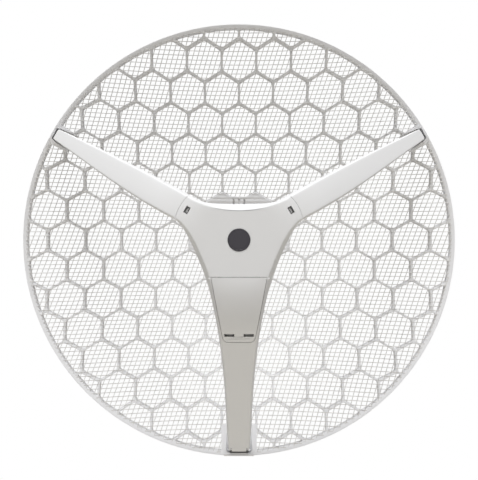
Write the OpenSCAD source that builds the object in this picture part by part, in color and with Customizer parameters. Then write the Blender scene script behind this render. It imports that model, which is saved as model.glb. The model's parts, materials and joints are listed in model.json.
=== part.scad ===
// Parabolic grid antenna with a three-armed feed unit and a pole mount.
// The origin is on the pole's axis, midway between the two clamp bands. +Z is up along the pole, and
// the antenna looks along -Y. Everything on the tilting side is drawn in the dish frame: x to the
// right and y up as seen from the front, z forwards from the vertex of the reflector.

/* [Reflector] */
// Outer radius of the reflector's rim
rim_r = 275; // [272:1:278]
// Focal length of the paraboloid
focal = 220; // [216:1:224]
// Distance between neighbouring hexagon centres
hex_pitch = 45; // [44.6:0.1:45.4]
// Width of a rib seen from the front
rib_w = 3; // [2.6:0.1:3.4]
// Depth of the ribs behind the reflecting face
rib_depth = 12; // [11:0.5:12]
// Width of the rim seen from the front
rim_w = 5; // [4:0.5:6]
// Depth of the rim behind the reflecting face
rim_depth = 14; // [12:0.5:16]
// Thickness of the sheet that stands for the wire mesh
mesh_t = 0.6; // [0.5:0.1:0.8]

/* [Feed unit] */
// Distance from the vertex to the front face of the feed unit
front_z = 250; // [248:1:252]
// Radius of the flat middle of the front face
flat_r = 45; // [43:1:47]
// Bend radius between the flat middle and the sloping legs
bend_r = 93; // [90:1:96]
// Slope of the legs
bend_a = 40; // [39:0.5:41]
// Depth of the feed unit in the middle
unit_depth = 28; // [27:0.5:29]
// Depth of the legs at their tips
tip_depth = 14; // [13:0.5:15]
// Wall thickness of the plastic covers
wall = 2; // [1.8:0.1:2.2]
// Distance from the axis to the seam between the middle and an arm
seam_r = 74.9; // [74:0.1:76]
// Curve radius of that seam
seam_curve = 46; // [44:1:50]
// Gap along seams between covers
seam_gap = 0.4; // [0.3:0.05:0.5]
// Distance from the axis to the tips of the upper arms
arm_r = 269; // [268:0.5:269.5]
// Distance from the axis to the tip of the lower leg
leg_r = 271; // [270:0.5:271.5]

/* [Port door] */
// Height of the door's top edge below the axis
door_top = 41; // [40:0.5:42]
// Height of the door's bottom edge below the axis
door_bottom = 115.5; // [114:0.5:116]
// Width of the door at its top edge
door_w_top = 61; // [60:0.2:61.4]
// Width of the door at its bottom edge
door_w_bottom = 35; // [34:0.5:36]
// Radius of the door's hinge barrel
barrel_r = 1.5; // [1.4:0.1:1.6]

/* [Pole mount] */
// Radius of the pole
pole_r = 25; // [24.5:0.1:25.4]
// Distance from the pole's axis to the tilt bolt
tilt_y = 46; // [45.5:0.5:47]
// Distance from the pole's axis to the reflector's vertex
setback = 76; // [75.5:0.5:78]
// Height of each clamp band above or below the middle
band_z = 36; // [35.8:0.1:37]
// Width of a clamp band
band_w = 12.7; // [12:0.1:13]
// Thickness of a clamp band
band_t = 0.7; // [0.6:0.1:0.9]
// Radius of the tilt bolt
tilt_bolt_r = 4; // [3.9:0.05:4]
// Distance from the tilt bolt down to the lock bolt
lock_drop = 20; // [19.5:0.5:20.5]

/* [Hidden] */

round_fn = 96;
small_fn = 48;
far = 400;
run_gap = 0.05;
body_gap = 0.5;
mesh_slit = 0.4;
mesh_split_r = [125, 200];
mesh_petals = 12;

hub_plate_t = 3;
hub_back = 14;
hub_cell_r = hex_pitch * 1.1;
socket_w = 26;
socket_in = 251;
leg_socket_w = 48;
leg_socket_in = 241;
leg_socket_out = 279;
pocket_gap = 0.8;
socket_floor = 16;

arm_a = 30;
arm_upper = 15.5;
arm_lower = 16.3;
arm_tip = 7.6;
arm_neck = 9.4;
tongue_w = 19;
tongue_in = 57;
tongue_t = 2.6;
window_r = 66;
window_l = 5;
window_w = 8;
split = 0.7;

board_z = 226.5;
board_t = 1.6;
board_top = board_z + board_t;
jack_w = 16;
jack_l = 21;
jack_h = 13.5;
jack_y = -73;
radome_r = 28;
radome_z = 207;
radome_flange = 3.5;
ground_r = 24;
ground_z = 221;
patch_z = 215;
patch_half = 12;
patch_t = 0.8;
feed_pin_pos = [[5, 0], [0, 5]];
feed_pin_r = 0.65;
badge_r = 12.5;
badge_recess = 0.6;
switch_pos = [14.5, -58];
switch_w = 6;
button_r = 1.75;
chips = [[-8, 6, -36, -22, 1.5], [10, 19, -34, -25, 1.1], [-8, 8, -50.5, -40, 6], [14, 20, -48, -42, 3],
    [20, 23, -4, 0, 1.4], [26, 29, -4, 0, 1.4]];
capacitor_pos = [[-19, -46], [-13, -46]];

cheek_in = 15;
cheek_t = 4.5;
ear_in = cheek_in + cheek_t + body_gap;
ear_t = 4.5;
knuckle_r = 10;
v_half = 60;
v_root = -pole_r / sin(v_half);
block_h = 46;
wing_from = 29;
block_front = 36;
corner_r = 4;
lock_pos = [-tilt_y + 4, -lock_drop];
lock_r = 3;
lock_arm = norm([4, lock_drop]);
lock_dir = atan2(-lock_drop, 4);
washer_t = 1.5;
ear_out = ear_in + ear_t;
bolt_seat = ear_out + 0.3 + washer_t;
screw_r = 3.6;
tilt_max = 15;
screw_x = pole_r + 6.5;

function para(r) = r * r / (4 * focal);
function dish_profile(dz) = [for (r = [0, 55, 110, 165, 220, rim_r + 8]) [r, para(r) + dz]];
function polar(r, a) = r * [cos(a), sin(a)];
function arc(c, r, a0, a1, n) = [for (i = [0:n]) c + polar(r, a0 + (a1 - a0) * i / n)];
function bezier(p, n) = [for (i = [0:n]) let (t = i / n, s = 1 - t)
    s * s * s * p[0] + 3 * t * s * s * p[1] + 3 * t * t * s * p[2] + t * t * t * p[3]];
function tail(p) = [for (i = [1:len(p) - 1]) p[i]];
function backwards(p) = [for (i = [len(p) - 1:-1:0]) p[i]];
function flipped(p) = backwards([for (q = p) [-q[0], q[1]]]);
function turned(p, a) = [for (q = p) [q[0] * cos(a) - q[1] * sin(a), q[0] * sin(a) + q[1] * cos(a)]];
function normal(a, b) = let (e = b - a) [-e[1], e[0]] / norm(e);
// Moves the sides of an anticlockwise outline inwards by d.
function inset(p, d) = let (n = len(p)) [for (i = [0:n - 1])
    let (a = normal(p[(i + n - 1) % n], p[i]), b = normal(p[i], p[(i + 1) % n]))
    p[i] + d * (a + b) / (1 + a * b)];

// A layer of the feed unit is a profile that lies d behind the front face in the middle and tip_d
// behind it at the tips, as points of radius and height.
bend_c = [flat_r, front_z - bend_r];
bend_dir = [sin(bend_a), cos(bend_a)];
leg_end = bend_c + bend_r * bend_dir + 245 * [cos(bend_a), -sin(bend_a)];
function layer(d, tip_d) = concat([[0, front_z - d]],
    [for (i = [0:5]) bend_c + (bend_r - d) * [sin(bend_a * i / 5), cos(bend_a * i / 5)]],
    [leg_end - tip_d * bend_dir]);
function below(d) = layer(d, d);
function above_back(d) = layer(unit_depth - d, tip_depth - d);
function between(t) = layer(unit_depth * t, tip_depth * t);

// Outlines in the front view.
seam_c = [seam_r - seam_curve, 0];
function seam_arc(r, n) = arc(seam_c, r, -asin(arm_lower / seam_curve), asin(arm_upper / seam_curve), n);
seam_pts = turned(seam_arc(seam_curve, 4), arm_a);
crotch = seam_pts[0];
shoulder = seam_pts[4];
top_y = 37;
top_r = (pow(shoulder[0], 2) + pow(shoulder[1] - top_y, 2)) / (2 * (shoulder[1] - top_y));
top_a = asin(shoulder[0] / top_r);
waist = [38, -40];
shin = [15.5, -238];
toe_r = 5;
toe_c = [9, toe_r - leg_r];
right_side = concat(
    arc(toe_c, toe_r, -90, 0, 3),
    bezier([shin, shin + [1.2, 70], [22, -88], waist], 8),
    tail(bezier([waist, [48, -14], [60, 14.5], crotch], 6)),
    [seam_pts[1], seam_pts[2], seam_pts[3]],
    arc([0, top_y + top_r], top_r, top_a - 90, -88, 5));
unit_outline = concat(right_side, flipped(right_side));
tip_corner = 3;
arm_outline = concat(
    bezier([[seam_r - 2, -arm_lower], [135, -19.8], [190, -14], [arm_r - tip_corner, -arm_tip]], 8),
    arc([arm_r - tip_corner, -arm_tip + tip_corner], tip_corner, -60, 0, 2),
    arc([arm_r - tip_corner, arm_tip - tip_corner], tip_corner, 0, 60, 2),
    bezier([[arm_r - tip_corner, arm_tip], [200, 12], [150, 15.6], [seam_r - 2, arm_upper]], 8),
    backwards(seam_arc(seam_curve + seam_gap, 4)));
door_corner = 5;
door_right = concat(
    arc([door_w_bottom / 2 - door_corner, door_corner - door_bottom], door_corner, -90, 0, 3),
    [[door_w_top / 2, -door_top - barrel_r]]);
door_outline = concat(door_right, flipped(door_right));
hinge_y = -door_top - barrel_r;
hinge_z = front_z - barrel_r - 0.1;
flange_z = front_z - unit_depth + wall + 0.1;
pin_r = 1.1;
door_end = door_w_top / 2 - 0.3;
lug_x = door_w_top / 2 + 0.6;
lug_t = 3;
slot_y = -107;
board_outline = [[-35, 23], [-36, 5], [-24, -40], [-20, -74], [20, -74], [24, -40], [36, 5], [35, 23]];
board_screw_pos = [[-31, 18], [31, 18], [-15, -67], [15, -67]];
cover_screw_pos = [[-42, 27], [42, 27], [0, -135], [0, -200]];
hub_screw_pos = [[-32, -24], [32, -24], [32, 24], [-32, 24]];
spacer_pos = [[-9, -9], [9, -9], [9, 9], [-9, 9]];

module dish_frame() { translate([0, -setback, 0]) rotate([90, 0, 0]) children(); }
module slab(front, back) { rotate_extrude($fn = round_fn) polygon(concat(front, backwards(back))); }
module prism(outline) { linear_extrude(far) polygon(outline); }
module on_arms() { rotate(arm_a) children(); mirror([1, 0, 0]) rotate(arm_a) children(); }
module tube_at(p, r, z0, z1) { translate([p[0], p[1], z0]) cylinder(r = r, h = z1 - z0, $fn = small_fn); }
module block(x0, x1, y0, y1, z0, z1) { translate([x0, y0, z0]) cube([x1 - x0, y1 - y0, z1 - z0]); }
module along_x(x0, x1, y, z, r) {
    translate([x0, y, z]) rotate([0, 90, 0]) cylinder(r = r, h = x1 - x0, $fn = small_fn);
}
module hex_x(x0, x1, y, z, across) {
    translate([x0, y, z]) rotate([0, 90, 0]) cylinder(d = across / cos(30), h = x1 - x0, $fn = 6);
}

// Reflector: hexagon ribs, rim, solid hub plate and the three sockets in one moulding.
module each_cell(hub) {
    for (row = [-7:7], col = [-7:7]) {
        p = hex_pitch * [col + (abs(row) % 2) / 2, row * sin(60)];
        in_hub = norm(p) < hub_cell_r;
        if (in_hub == hub && norm(p) < rim_r + hex_pitch / 2)
            translate(p) rotate(30) circle(d = (hex_pitch - rib_w) / cos(30), $fn = 6);
    }
}
module hub_flower() {
    for (row = [-1:1], col = [-2:2]) {
        p = hex_pitch * [col + (abs(row) % 2) / 2, row * sin(60)];
        if (norm(p) < hub_cell_r)
            translate(p) rotate(30) circle(d = (hex_pitch + rib_w) / cos(30), $fn = 6);
    }
}
module socket_plan(grow) {
    on_arms() translate([socket_in - grow, -socket_w / 2 - grow])
        square([rim_r + 3 - socket_in, socket_w + 2 * grow]);
    translate([-leg_socket_w / 2 - grow, -leg_socket_out]) square([leg_socket_w + 2 * grow,
        leg_socket_out - leg_socket_in + grow]);
}
module arm_pocket() {
    in = arm_neck + pocket_gap;
    end = arm_tip + pocket_gap;
    translate([0, 0, para(socket_in) - 2]) prism([[socket_in - 1, -in], [arm_r + pocket_gap, -end],
        [arm_r + pocket_gap, end], [socket_in - 1, in]]);
}
module leg_pocket() {
    translate([-shin[0] - pocket_gap - 0.5, -leg_r - pocket_gap, para(leg_socket_in) - 3])
        cube([2 * (shin[0] + pocket_gap + 0.5), leg_r + pocket_gap - leg_socket_in + 1, far]);
}
module reflector_grid() {
    color([0.93, 0.93, 0.94]) dish_frame() difference() {
        union() {
            intersection() {
                translate([0, 0, -rim_depth - 1]) linear_extrude(far) difference() {
                    circle(r = rim_r, $fn = round_fn);
                    intersection() {
                        circle(r = rim_r - rim_w, $fn = round_fn);
                        each_cell(false);
                    }
                    socket_plan(-0.5);
                }
                slab(dish_profile(0), dish_profile(-rib_depth));
            }
            rotate_extrude($fn = round_fn) polygon([[rim_r - rim_w, para(rim_r) - rim_depth],
                [rim_r, para(rim_r) - rim_depth], [rim_r, para(rim_r)], [rim_r - rim_w, para(rim_r) - 3]]);
            translate([0, 0, para(rim_r) - socket_floor - 8])
                linear_extrude(socket_floor + 9) socket_plan(0);
            for (p = hub_screw_pos) tube_at(p, 5.5, -hub_back, 0);
        }
        difference() {
            translate([0, 0, -far / 2]) linear_extrude(far / 2 - hub_plate_t) each_cell(true);
            for (p = hub_screw_pos) tube_at(p, 5.5, -far, 1);
        }
        on_arms() arm_pocket();
        leg_pocket();
        for (p = hub_screw_pos) tube_at(p, 2.1, -far, -hub_plate_t);
    }
}
module reflector_mesh() {
    color([0.85, 0.85, 0.84]) dish_frame() intersection() {
        slab(dish_profile(mesh_t), dish_profile(0));
        linear_extrude(far) difference() {
            circle(r = rim_r - rim_w, $fn = round_fn);
            hub_flower();
            socket_plan(0.5);
            for (r = mesh_split_r) difference() {
                circle(r = r + mesh_slit / 2, $fn = round_fn);
                circle(r = r - mesh_slit / 2, $fn = round_fn);
            }
            for (i = [0:mesh_petals - 1]) rotate(i * 360 / mesh_petals)
                translate([0, -mesh_slit / 2]) square([far, mesh_slit]);
        }
    }
}

// Feed unit covers.
module window_cut() {
    block(window_r - window_l / 2, window_r + window_l / 2, -window_w / 2, window_w / 2,
        front_z - 12, far);
}
module tongue_way() {
    intersection() {
        block(tongue_in - 2, seam_r + 4, -tongue_w / 2 - 0.6, tongue_w / 2 + 0.6, 0, far);
        slab(below(wall), below(wall + tongue_t + 1.2));
    }
}
module at_lugs() { for (s = [-1, 1]) translate([s * (lug_x + lug_t / 2), hinge_y, hinge_z]) children(); }
module front_cover() {
    color([0.92, 0.92, 0.92]) dish_frame() difference() {
        union() {
            difference() {
                intersection() {
                    prism(unit_outline);
                    slab(below(0), between(split));
                }
                intersection() {
                    prism(inset(unit_outline, wall));
                    slab(below(wall), between(1.2));
                }
            }
            intersection() {
                at_lugs() block(-lug_t / 2, lug_t / 2, -3, 3, -3, front_z - hinge_z);
                slab(below(0.5), below(6));
            }
            for (p = cover_screw_pos) intersection() {
                tube_at(p, 3.4, 0, far);
                slab(below(1), between(split));
            }
        }
        prism(inset(door_outline, -seam_gap));
        block(-door_w_top / 2 - seam_gap, door_w_top / 2 + seam_gap, hinge_y - 1,
            -door_top + seam_gap, front_z - 12, far);
        at_lugs() along_x(-4, 4, 0, 0, pin_r + run_gap);
        on_arms() window_cut();
        on_arms() tongue_way();
        tube_at([0, 0], badge_r + 0.2, front_z - badge_recess, far);
        for (p = cover_screw_pos) tube_at(p, 1.3, 0, lookup(norm(p), below(wall + 1)));
    }
}
module cover_screw_cuts() {
    for (p = cover_screw_pos) {
        tube_at(p, 2.9, 0, seat_z(p));
        tube_at(p, 1.6, 0, far);
    }
}
function seat_z(p) = lookup(norm(p), above_back(0)) + (norm(p) > 100 ? 4 : 2.2);
module rear_cover() {
    color([0.90, 0.90, 0.90]) dish_frame() difference() {
        union() {
            difference() {
                intersection() {
                    prism(unit_outline);
                    slab(between(split + 0.01), between(1));
                }
                intersection() {
                    prism(inset(unit_outline, wall));
                    slab(between(0.5), above_back(wall));
                }
            }
            for (p = cover_screw_pos) intersection() {
                tube_at(p, 4.4, 0, far);
                slab(between(split + 0.01), above_back(1));
            }
            for (p = board_screw_pos) intersection() {
                tube_at(p, 3, 0, board_z);
                slab(between(split * 0.5), above_back(1));
            }
        }
        tube_at([0, 0], radome_r + 0.2, 0, far);
        block(-7, 7, -236, -216, 0, far);
        cover_screw_cuts();
        for (p = board_screw_pos) tube_at(p, 1.1, lookup(norm(p), above_back(wall)) - 0.5, far);
    }
}
module arm_shape() {
    difference() {
        intersection() {
            prism(arm_outline);
            slab(below(0), between(1));
        }
        intersection() {
            prism(inset(arm_outline, wall));
            slab(below(wall), between(1.3));
        }
    }
    for (r = [105:35:245]) intersection() {
        translate([r, -30, 0]) cube([wall, 60, far]);
        prism(inset(arm_outline, 1));
        slab(below(1), between(0.85));
    }
    intersection() {
        block(tongue_in, seam_r + 12, -tongue_w / 2, tongue_w / 2, 0, far);
        slab(below(wall + 0.4), below(wall + 0.4 + tongue_t));
    }
    intersection() {
        block(seam_r + 2, seam_r + 12, -tongue_w / 2, tongue_w / 2, 0, far);
        slab(below(1), below(wall + 1));
    }
    intersection() {
        block(window_r - 2, window_r + 2, -window_w / 2 + 0.4, window_w / 2 - 0.4, 0, far);
        slab(below(0.8), below(wall + 1));
    }
}
module right_arm() { color([0.93, 0.93, 0.93]) dish_frame() rotate(arm_a) arm_shape(); }
module left_arm() {
    color([0.93, 0.93, 0.93]) dish_frame() mirror([1, 0, 0]) rotate(arm_a) arm_shape();
}
module port_door() {
    color([0.91, 0.91, 0.90]) dish_frame() {
        difference() {
            intersection() {
                prism(door_outline);
                slab(below(0), below(wall));
            }
            for (s = [-1, 1]) block(s * 11 - 5.5, s * 11 + 5.5, slot_y - 1.7, slot_y + 1.7, 0, far);
        }
        along_x(-door_end, door_end, hinge_y, hinge_z, barrel_r);
        along_x(-lug_x - 2.5, lug_x + 2.5, hinge_y, hinge_z, pin_r);
    }
}
module front_badge() {
    color([0.27, 0.26, 0.29]) dish_frame() difference() {
        tube_at([0, 0], badge_r, front_z - badge_recess + run_gap, front_z + 0.35);
        rotate_extrude($fn = small_fn) translate([badge_r - 2, front_z + 0.15]) square([0.8, 1]);
    }
}

// Feed and electronics.
module feed_radome() {
    color([0.88, 0.88, 0.87]) dish_frame() rotate_extrude($fn = round_fn) polygon([
        [0, radome_z], [14, radome_z + 1.5], [radome_r - 5, radome_z + 5], [radome_r, radome_z + 12],
        [radome_r, flange_z], [radome_r + radome_flange, flange_z],
        [radome_r + radome_flange, flange_z + 1.8], [radome_r - 1.6, flange_z + 1.8],
        [radome_r - 1.6, radome_z + 12.6], [radome_r - 6, radome_z + 6.5], [13.6, radome_z + 3.1],
        [0, radome_z + 1.6]]);
}
module feed_ground() {
    color([0.80, 0.80, 0.78]) dish_frame() difference() {
        tube_at([0, 0], ground_r, ground_z, ground_z + 1);
        for (p = feed_pin_pos) tube_at(p, 1.6, 0, far);
    }
}
module feed_patch() {
    color([0.80, 0.62, 0.35]) dish_frame()
        block(-patch_half, patch_half, -patch_half, patch_half, patch_z, patch_z + patch_t);
}
module feed_pins() {
    color([0.82, 0.68, 0.32]) dish_frame() for (p = feed_pin_pos)
        tube_at(p, feed_pin_r, patch_z + patch_t, board_z);
}
module feed_spacers() {
    color([0.95, 0.95, 0.92]) dish_frame() for (p = spacer_pos) {
        tube_at(p, 1.6, patch_z + patch_t, ground_z);
        tube_at(p, 1.6, ground_z + 1, board_z);
    }
}
module circuit_board() {
    color([0.08, 0.33, 0.17]) dish_frame() difference() {
        translate([0, 0, board_z]) linear_extrude(board_t) polygon(board_outline);
        for (p = board_screw_pos) tube_at(p, 1.3, 0, far);
    }
}
module radio_shield() {
    color([0.78, 0.79, 0.80]) dish_frame() difference() {
        block(-16, 16, -15, 15, board_top, board_top + 4);
        block(-15.6, 15.6, -14.6, 14.6, board_top - 1, board_top + 3.6);
    }
}
module board_parts() {
    color([0.12, 0.12, 0.13]) dish_frame() {
        for (c = chips) block(c[0], c[1], c[2], c[3], board_top, board_top + c[4]);
        for (p = capacitor_pos) tube_at(p, 2.6, board_top, board_top + 8);
    }
}
module status_leds() {
    color([0.75, 0.95, 0.75]) dish_frame() for (i = [0:4])
        block(-27 + 3 * i, -25.4 + 3 * i, -17, -16.2, board_top, board_top + 0.7);
}
module ethernet_jack() {
    color([0.75, 0.76, 0.78]) dish_frame() difference() {
        block(-jack_w / 2, jack_w / 2, jack_y, jack_y + jack_l, board_top, board_top + jack_h);
        block(-6, 6, jack_y - 1, jack_y + 17, board_top + 2, board_top + 9.6);
        block(-3, 3, jack_y - 1, jack_y + 17, board_top + 9, board_top + 11.6);
    }
}
module reset_switch() {
    color([0.15, 0.15, 0.16]) dish_frame() difference() {
        block(switch_pos[0] - switch_w / 2, switch_pos[0] + switch_w / 2, switch_pos[1] - switch_w / 2,
            switch_pos[1] + switch_w / 2, board_top, board_top + 3.4);
        tube_at(switch_pos, button_r + run_gap, board_top + 1.2, far);
    }
}
module reset_button() {
    color([0.75, 0.2, 0.16]) dish_frame() tube_at(switch_pos, button_r, board_top + 1.9, board_top + 6);
}
module board_screws() {
    color([0.72, 0.73, 0.74]) dish_frame() for (p = board_screw_pos) {
        tube_at(p, 2.1, board_top, board_top + 1.3);
        tube_at(p, 1.05, board_z - 2, board_top + 1);
    }
}
module cover_screws() {
    color([0.72, 0.73, 0.74]) dish_frame() for (p = cover_screw_pos) {
        tube_at(p, 2.7, seat_z(p) - 1.9, seat_z(p));
        tube_at(p, 1.25, seat_z(p) - 1, seat_z(p) + 13);
    }
}

// Tilting bracket on the back of the hub plate.
module wedge(dir, half) { polygon([[0, 0], polar(60, dir - half), polar(60, dir), polar(60, dir + half)]); }
module lock_ring(half_w, half_a) {
    intersection() {
        difference() {
            circle(r = lock_arm + half_w, $fn = small_fn);
            circle(r = lock_arm - half_w, $fn = small_fn);
        }
        wedge(lock_dir, half_a);
    }
    for (a = [-1, 1]) translate(polar(lock_arm, lock_dir + a * half_a)) circle(r = half_w, $fn = small_fn);
}
// Draws a flat shape given in Y and Z as a plate between two X values.
module plate_x(x0, x1) { translate([x0, 0, 0]) rotate([90, 0, 90]) linear_extrude(x1 - x0) children(); }
module ear_plan() {
    translate([-tilt_y, 0]) difference() {
        union() {
            circle(r = knuckle_r, $fn = small_fn);
            translate([-(setback - hub_back - 4 - tilt_y) - 0.5, -knuckle_r])
                square([setback - hub_back - 4 - tilt_y + 0.5, 2 * knuckle_r]);
            lock_ring(7.4, tilt_max + 4);
            circle(r = lock_arm, $fn = small_fn);
        }
        circle(r = tilt_bolt_r + run_gap, $fn = small_fn);
        lock_ring(lock_r + 0.3, tilt_max + 1);
    }
}
module hub_bracket() {
    base_y = -(setback - hub_back);
    color([0.88, 0.88, 0.88]) {
        difference() {
            union() {
                block(-33, 33, base_y, base_y + 4, -27, 27);
                block(-38, 38, base_y, base_y + 4, -22, 22);
                for (p = hub_screw_pos) translate([sign(p[0]) * 33, base_y, sign(p[1]) * 22])
                    rotate([-90, 0, 0]) cylinder(r = 5, h = 4, $fn = small_fn);
            }
            for (p = hub_screw_pos) translate([p[0], base_y - 1, p[1]]) rotate([-90, 0, 0])
                cylinder(r = 2.6, h = 6, $fn = small_fn);
        }
        for (s = [-1, 1]) plate_x(s > 0 ? ear_in : -ear_in - ear_t, s > 0 ? ear_in + ear_t : -ear_in)
            intersection() {
                ear_plan();
                translate([base_y + 3.5, -80]) square([80, 160]);
            }
    }
}
module hub_screws() {
    color([0.72, 0.73, 0.74]) for (p = hub_screw_pos)
        translate([p[0], -(setback - hub_back) + 4, p[1]]) rotate([90, 0, 0]) {
            cylinder(r = 2.05, h = 13, $fn = small_fn);
            difference() {
                translate([0, 0, -3]) cylinder(r = 4.2, h = 3, $fn = small_fn);
                translate([0, 0, -4]) cylinder(r = 1.8, h = 2.6, $fn = 6);
            }
        }
}

// Pole mount.
module band_plan(grow) {
    circle(r = pole_r + grow, $fn = round_fn);
    translate([-pole_r - grow, -block_front + corner_r])
        square([2 * (pole_r + grow), block_front - corner_r]);
    translate([-pole_r + corner_r, -block_front - grow])
        square([2 * (pole_r - corner_r), block_front + grow - 5]);
    for (s = [-1, 1]) translate([s * (pole_r - corner_r), -block_front + corner_r])
        circle(r = corner_r + grow, $fn = small_fn);
}
module v_plan() {
    intersection() {
        band_plan(0);
        polygon([[-40, -block_front - 5], [40, -block_front - 5], [40, v_root + 40 / tan(v_half)],
            [0, v_root], [-40, v_root + 40 / tan(v_half)]]);
    }
}
module pole_bracket() {
    narrow = cheek_in + cheek_t;
    color([0.86, 0.86, 0.86]) difference() {
        union() {
            difference() {
                translate([0, 0, -block_h]) linear_extrude(2 * block_h) v_plan();
                for (s = [-1, 1]) block(s > 0 ? narrow : -60, s > 0 ? 60 : -narrow, -60, 60,
                    -wing_from, wing_from);
            }
            for (s = [-1, 1]) plate_x(s > 0 ? cheek_in : -narrow, s > 0 ? narrow : -cheek_in) {
                translate([-tilt_y, 0]) circle(r = knuckle_r, $fn = small_fn);
                translate([-tilt_y, -knuckle_r]) square([tilt_y - 30, 2 * knuckle_r]);
                translate(lock_pos) circle(r = 7.5, $fn = small_fn);
                translate([lock_pos[0], lock_pos[1] - 7.5]) square([-lock_pos[0] - 30, 20]);
            }
        }
        along_x(-60, 60, -tilt_y, 0, tilt_bolt_r + run_gap);
        along_x(-60, 60, lock_pos[0], lock_pos[1], lock_r + run_gap);
        for (z = [-42:6:42]) for (s = [-1, 1]) translate([0, v_root, z])
            rotate([0, 0, s * (90 - v_half)]) block(s > 0 ? 6 : -26, s > 0 ? 26 : -6, -0.8, 2, -1, 1);
        for (s = [-1, 1]) block(-12, 12, -block_front - 1, -block_front + 2.5, s * 21 - 5, s * 21 + 5);
    }
}
module clamp_band(z) {
    color([0.76, 0.77, 0.79]) translate([0, 0, z - band_w / 2]) linear_extrude(band_w) difference() {
        band_plan(band_t);
        band_plan(0);
    }
}
module clamp_band_upper() { clamp_band(band_z); }
module clamp_band_lower() { clamp_band(-band_z); }
module clamp_housing(z) {
    color([0.74, 0.75, 0.77]) difference() {
        block(pole_r + band_t, screw_x + 5.2, -22, -4, z - band_w / 2 - 1, z + band_w / 2 + 1);
        translate([screw_x, 0, z]) rotate([90, 0, 0]) cylinder(r = screw_r + run_gap, h = far,
            center = true, $fn = small_fn);
    }
}
module clamp_housing_upper() { clamp_housing(band_z); }
module clamp_housing_lower() { clamp_housing(-band_z); }
module clamp_screw(z) {
    color([0.70, 0.71, 0.73]) translate([screw_x, -25, z]) rotate([-90, 0, 0]) {
        cylinder(r = screw_r, h = 24, $fn = small_fn);
        translate([0, 0, 22]) difference() {
            union() {
                cylinder(d = 8 / cos(30), h = 6, $fn = 6);
                cylinder(r = 5, h = 1, $fn = small_fn);
            }
            translate([-0.6, -10, 4.4]) cube([1.2, 20, 3]);
        }
    }
}
module clamp_screw_upper() { clamp_screw(band_z); }
module clamp_screw_lower() { clamp_screw(-band_z); }
module tilt_bolt() {
    color([0.73, 0.74, 0.75]) {
        along_x(-bolt_seat - 1, bolt_seat + 9, -tilt_y, 0, tilt_bolt_r);
        hex_x(-bolt_seat - 5.3, -bolt_seat, -tilt_y, 0, 13);
    }
}
module nut(across, h, y, z, hole) {
    difference() {
        hex_x(bolt_seat, bolt_seat + h, y, z, across);
        along_x(0, 60, y, z, hole);
    }
}
module tilt_nut() { color([0.73, 0.74, 0.75]) nut(13, 6.5, -tilt_y, 0, tilt_bolt_r); }
module lock_bolt() {
    color([0.73, 0.74, 0.75]) {
        along_x(-bolt_seat - 1, bolt_seat + 7, lock_pos[0], lock_pos[1], lock_r);
        hex_x(-bolt_seat - 4, -bolt_seat, lock_pos[0], lock_pos[1], 10);
    }
}
module lock_nut() { color([0.73, 0.74, 0.75]) nut(10, 5, lock_pos[0], lock_pos[1], lock_r); }
module tilt_washers() {
    color([0.76, 0.77, 0.78]) for (s = [-1, 1], k = [0, 1]) difference() {
        x0 = s > 0 ? ear_out + 0.3 : -bolt_seat;
        along_x(x0, x0 + washer_t, k ? lock_pos[0] : -tilt_y, k ? lock_pos[1] : 0, k ? 6 : 8);
        along_x(-60, 60, k ? lock_pos[0] : -tilt_y, k ? lock_pos[1] : 0, (k ? lock_r : tilt_bolt_r) + 0.1);
    }
}

pole_bracket();
clamp_band_upper();
clamp_band_lower();
clamp_housing_upper();
clamp_housing_lower();
clamp_screw_upper();
clamp_screw_lower();
tilt_bolt();
tilt_nut();
tilt_washers();
lock_bolt();
lock_nut();
hub_bracket();
hub_screws();
reflector_grid();
reflector_mesh();
front_cover();
rear_cover();
left_arm();
right_arm();
port_door();
front_badge();
feed_radome();
feed_ground();
feed_patch();
feed_pins();
feed_spacers();
circuit_board();
radio_shield();
board_parts();
status_leds();
ethernet_jack();
reset_switch();
reset_button();
board_screws();
cover_screws();
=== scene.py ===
"""Looks of a parabolic grid antenna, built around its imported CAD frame.

Shapes are worked out in the dish frame, in millimetres: x to the right and y up as seen from the front,
z forwards from the vertex of the reflector. to_world() turns them into metres in the frame of the CAD.
"""

import json
import math

import bmesh
import bpy
import numpy as np
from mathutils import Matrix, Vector


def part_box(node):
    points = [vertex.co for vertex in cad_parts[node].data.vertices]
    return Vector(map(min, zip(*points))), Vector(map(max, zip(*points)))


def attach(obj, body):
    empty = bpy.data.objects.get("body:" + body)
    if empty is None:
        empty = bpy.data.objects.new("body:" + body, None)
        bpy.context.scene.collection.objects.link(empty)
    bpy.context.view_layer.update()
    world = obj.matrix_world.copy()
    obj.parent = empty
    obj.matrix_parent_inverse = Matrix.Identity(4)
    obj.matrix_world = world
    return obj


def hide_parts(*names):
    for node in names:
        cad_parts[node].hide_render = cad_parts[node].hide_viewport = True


bl_info = {
    "name": "Grid antenna",
    "version": (1, 0, 0),
    "blender": (4, 5, 0),
    "location": "View3D > Sidebar > Antenna",
    "description": "Builds a parabolic grid antenna around its CAD frame",
    "category": "Object",
}

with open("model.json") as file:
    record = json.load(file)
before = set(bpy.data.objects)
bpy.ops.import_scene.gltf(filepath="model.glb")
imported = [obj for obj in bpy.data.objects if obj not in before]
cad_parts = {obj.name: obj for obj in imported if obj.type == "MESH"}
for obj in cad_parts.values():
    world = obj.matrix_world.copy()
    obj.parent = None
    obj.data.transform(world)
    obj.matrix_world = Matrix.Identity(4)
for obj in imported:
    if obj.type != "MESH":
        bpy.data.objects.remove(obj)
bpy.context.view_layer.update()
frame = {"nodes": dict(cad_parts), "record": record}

MM = 0.001
HUB_BACK = 14.0
SETBACK = -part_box("hub_bracket")[0].y / MM + HUB_BACK
FRONT_Z = -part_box("front_cover")[0].y / MM - SETBACK
RIM_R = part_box("reflector_grid")[1].x / MM


# ---------------------------------------------------------------- sizes and colours


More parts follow.
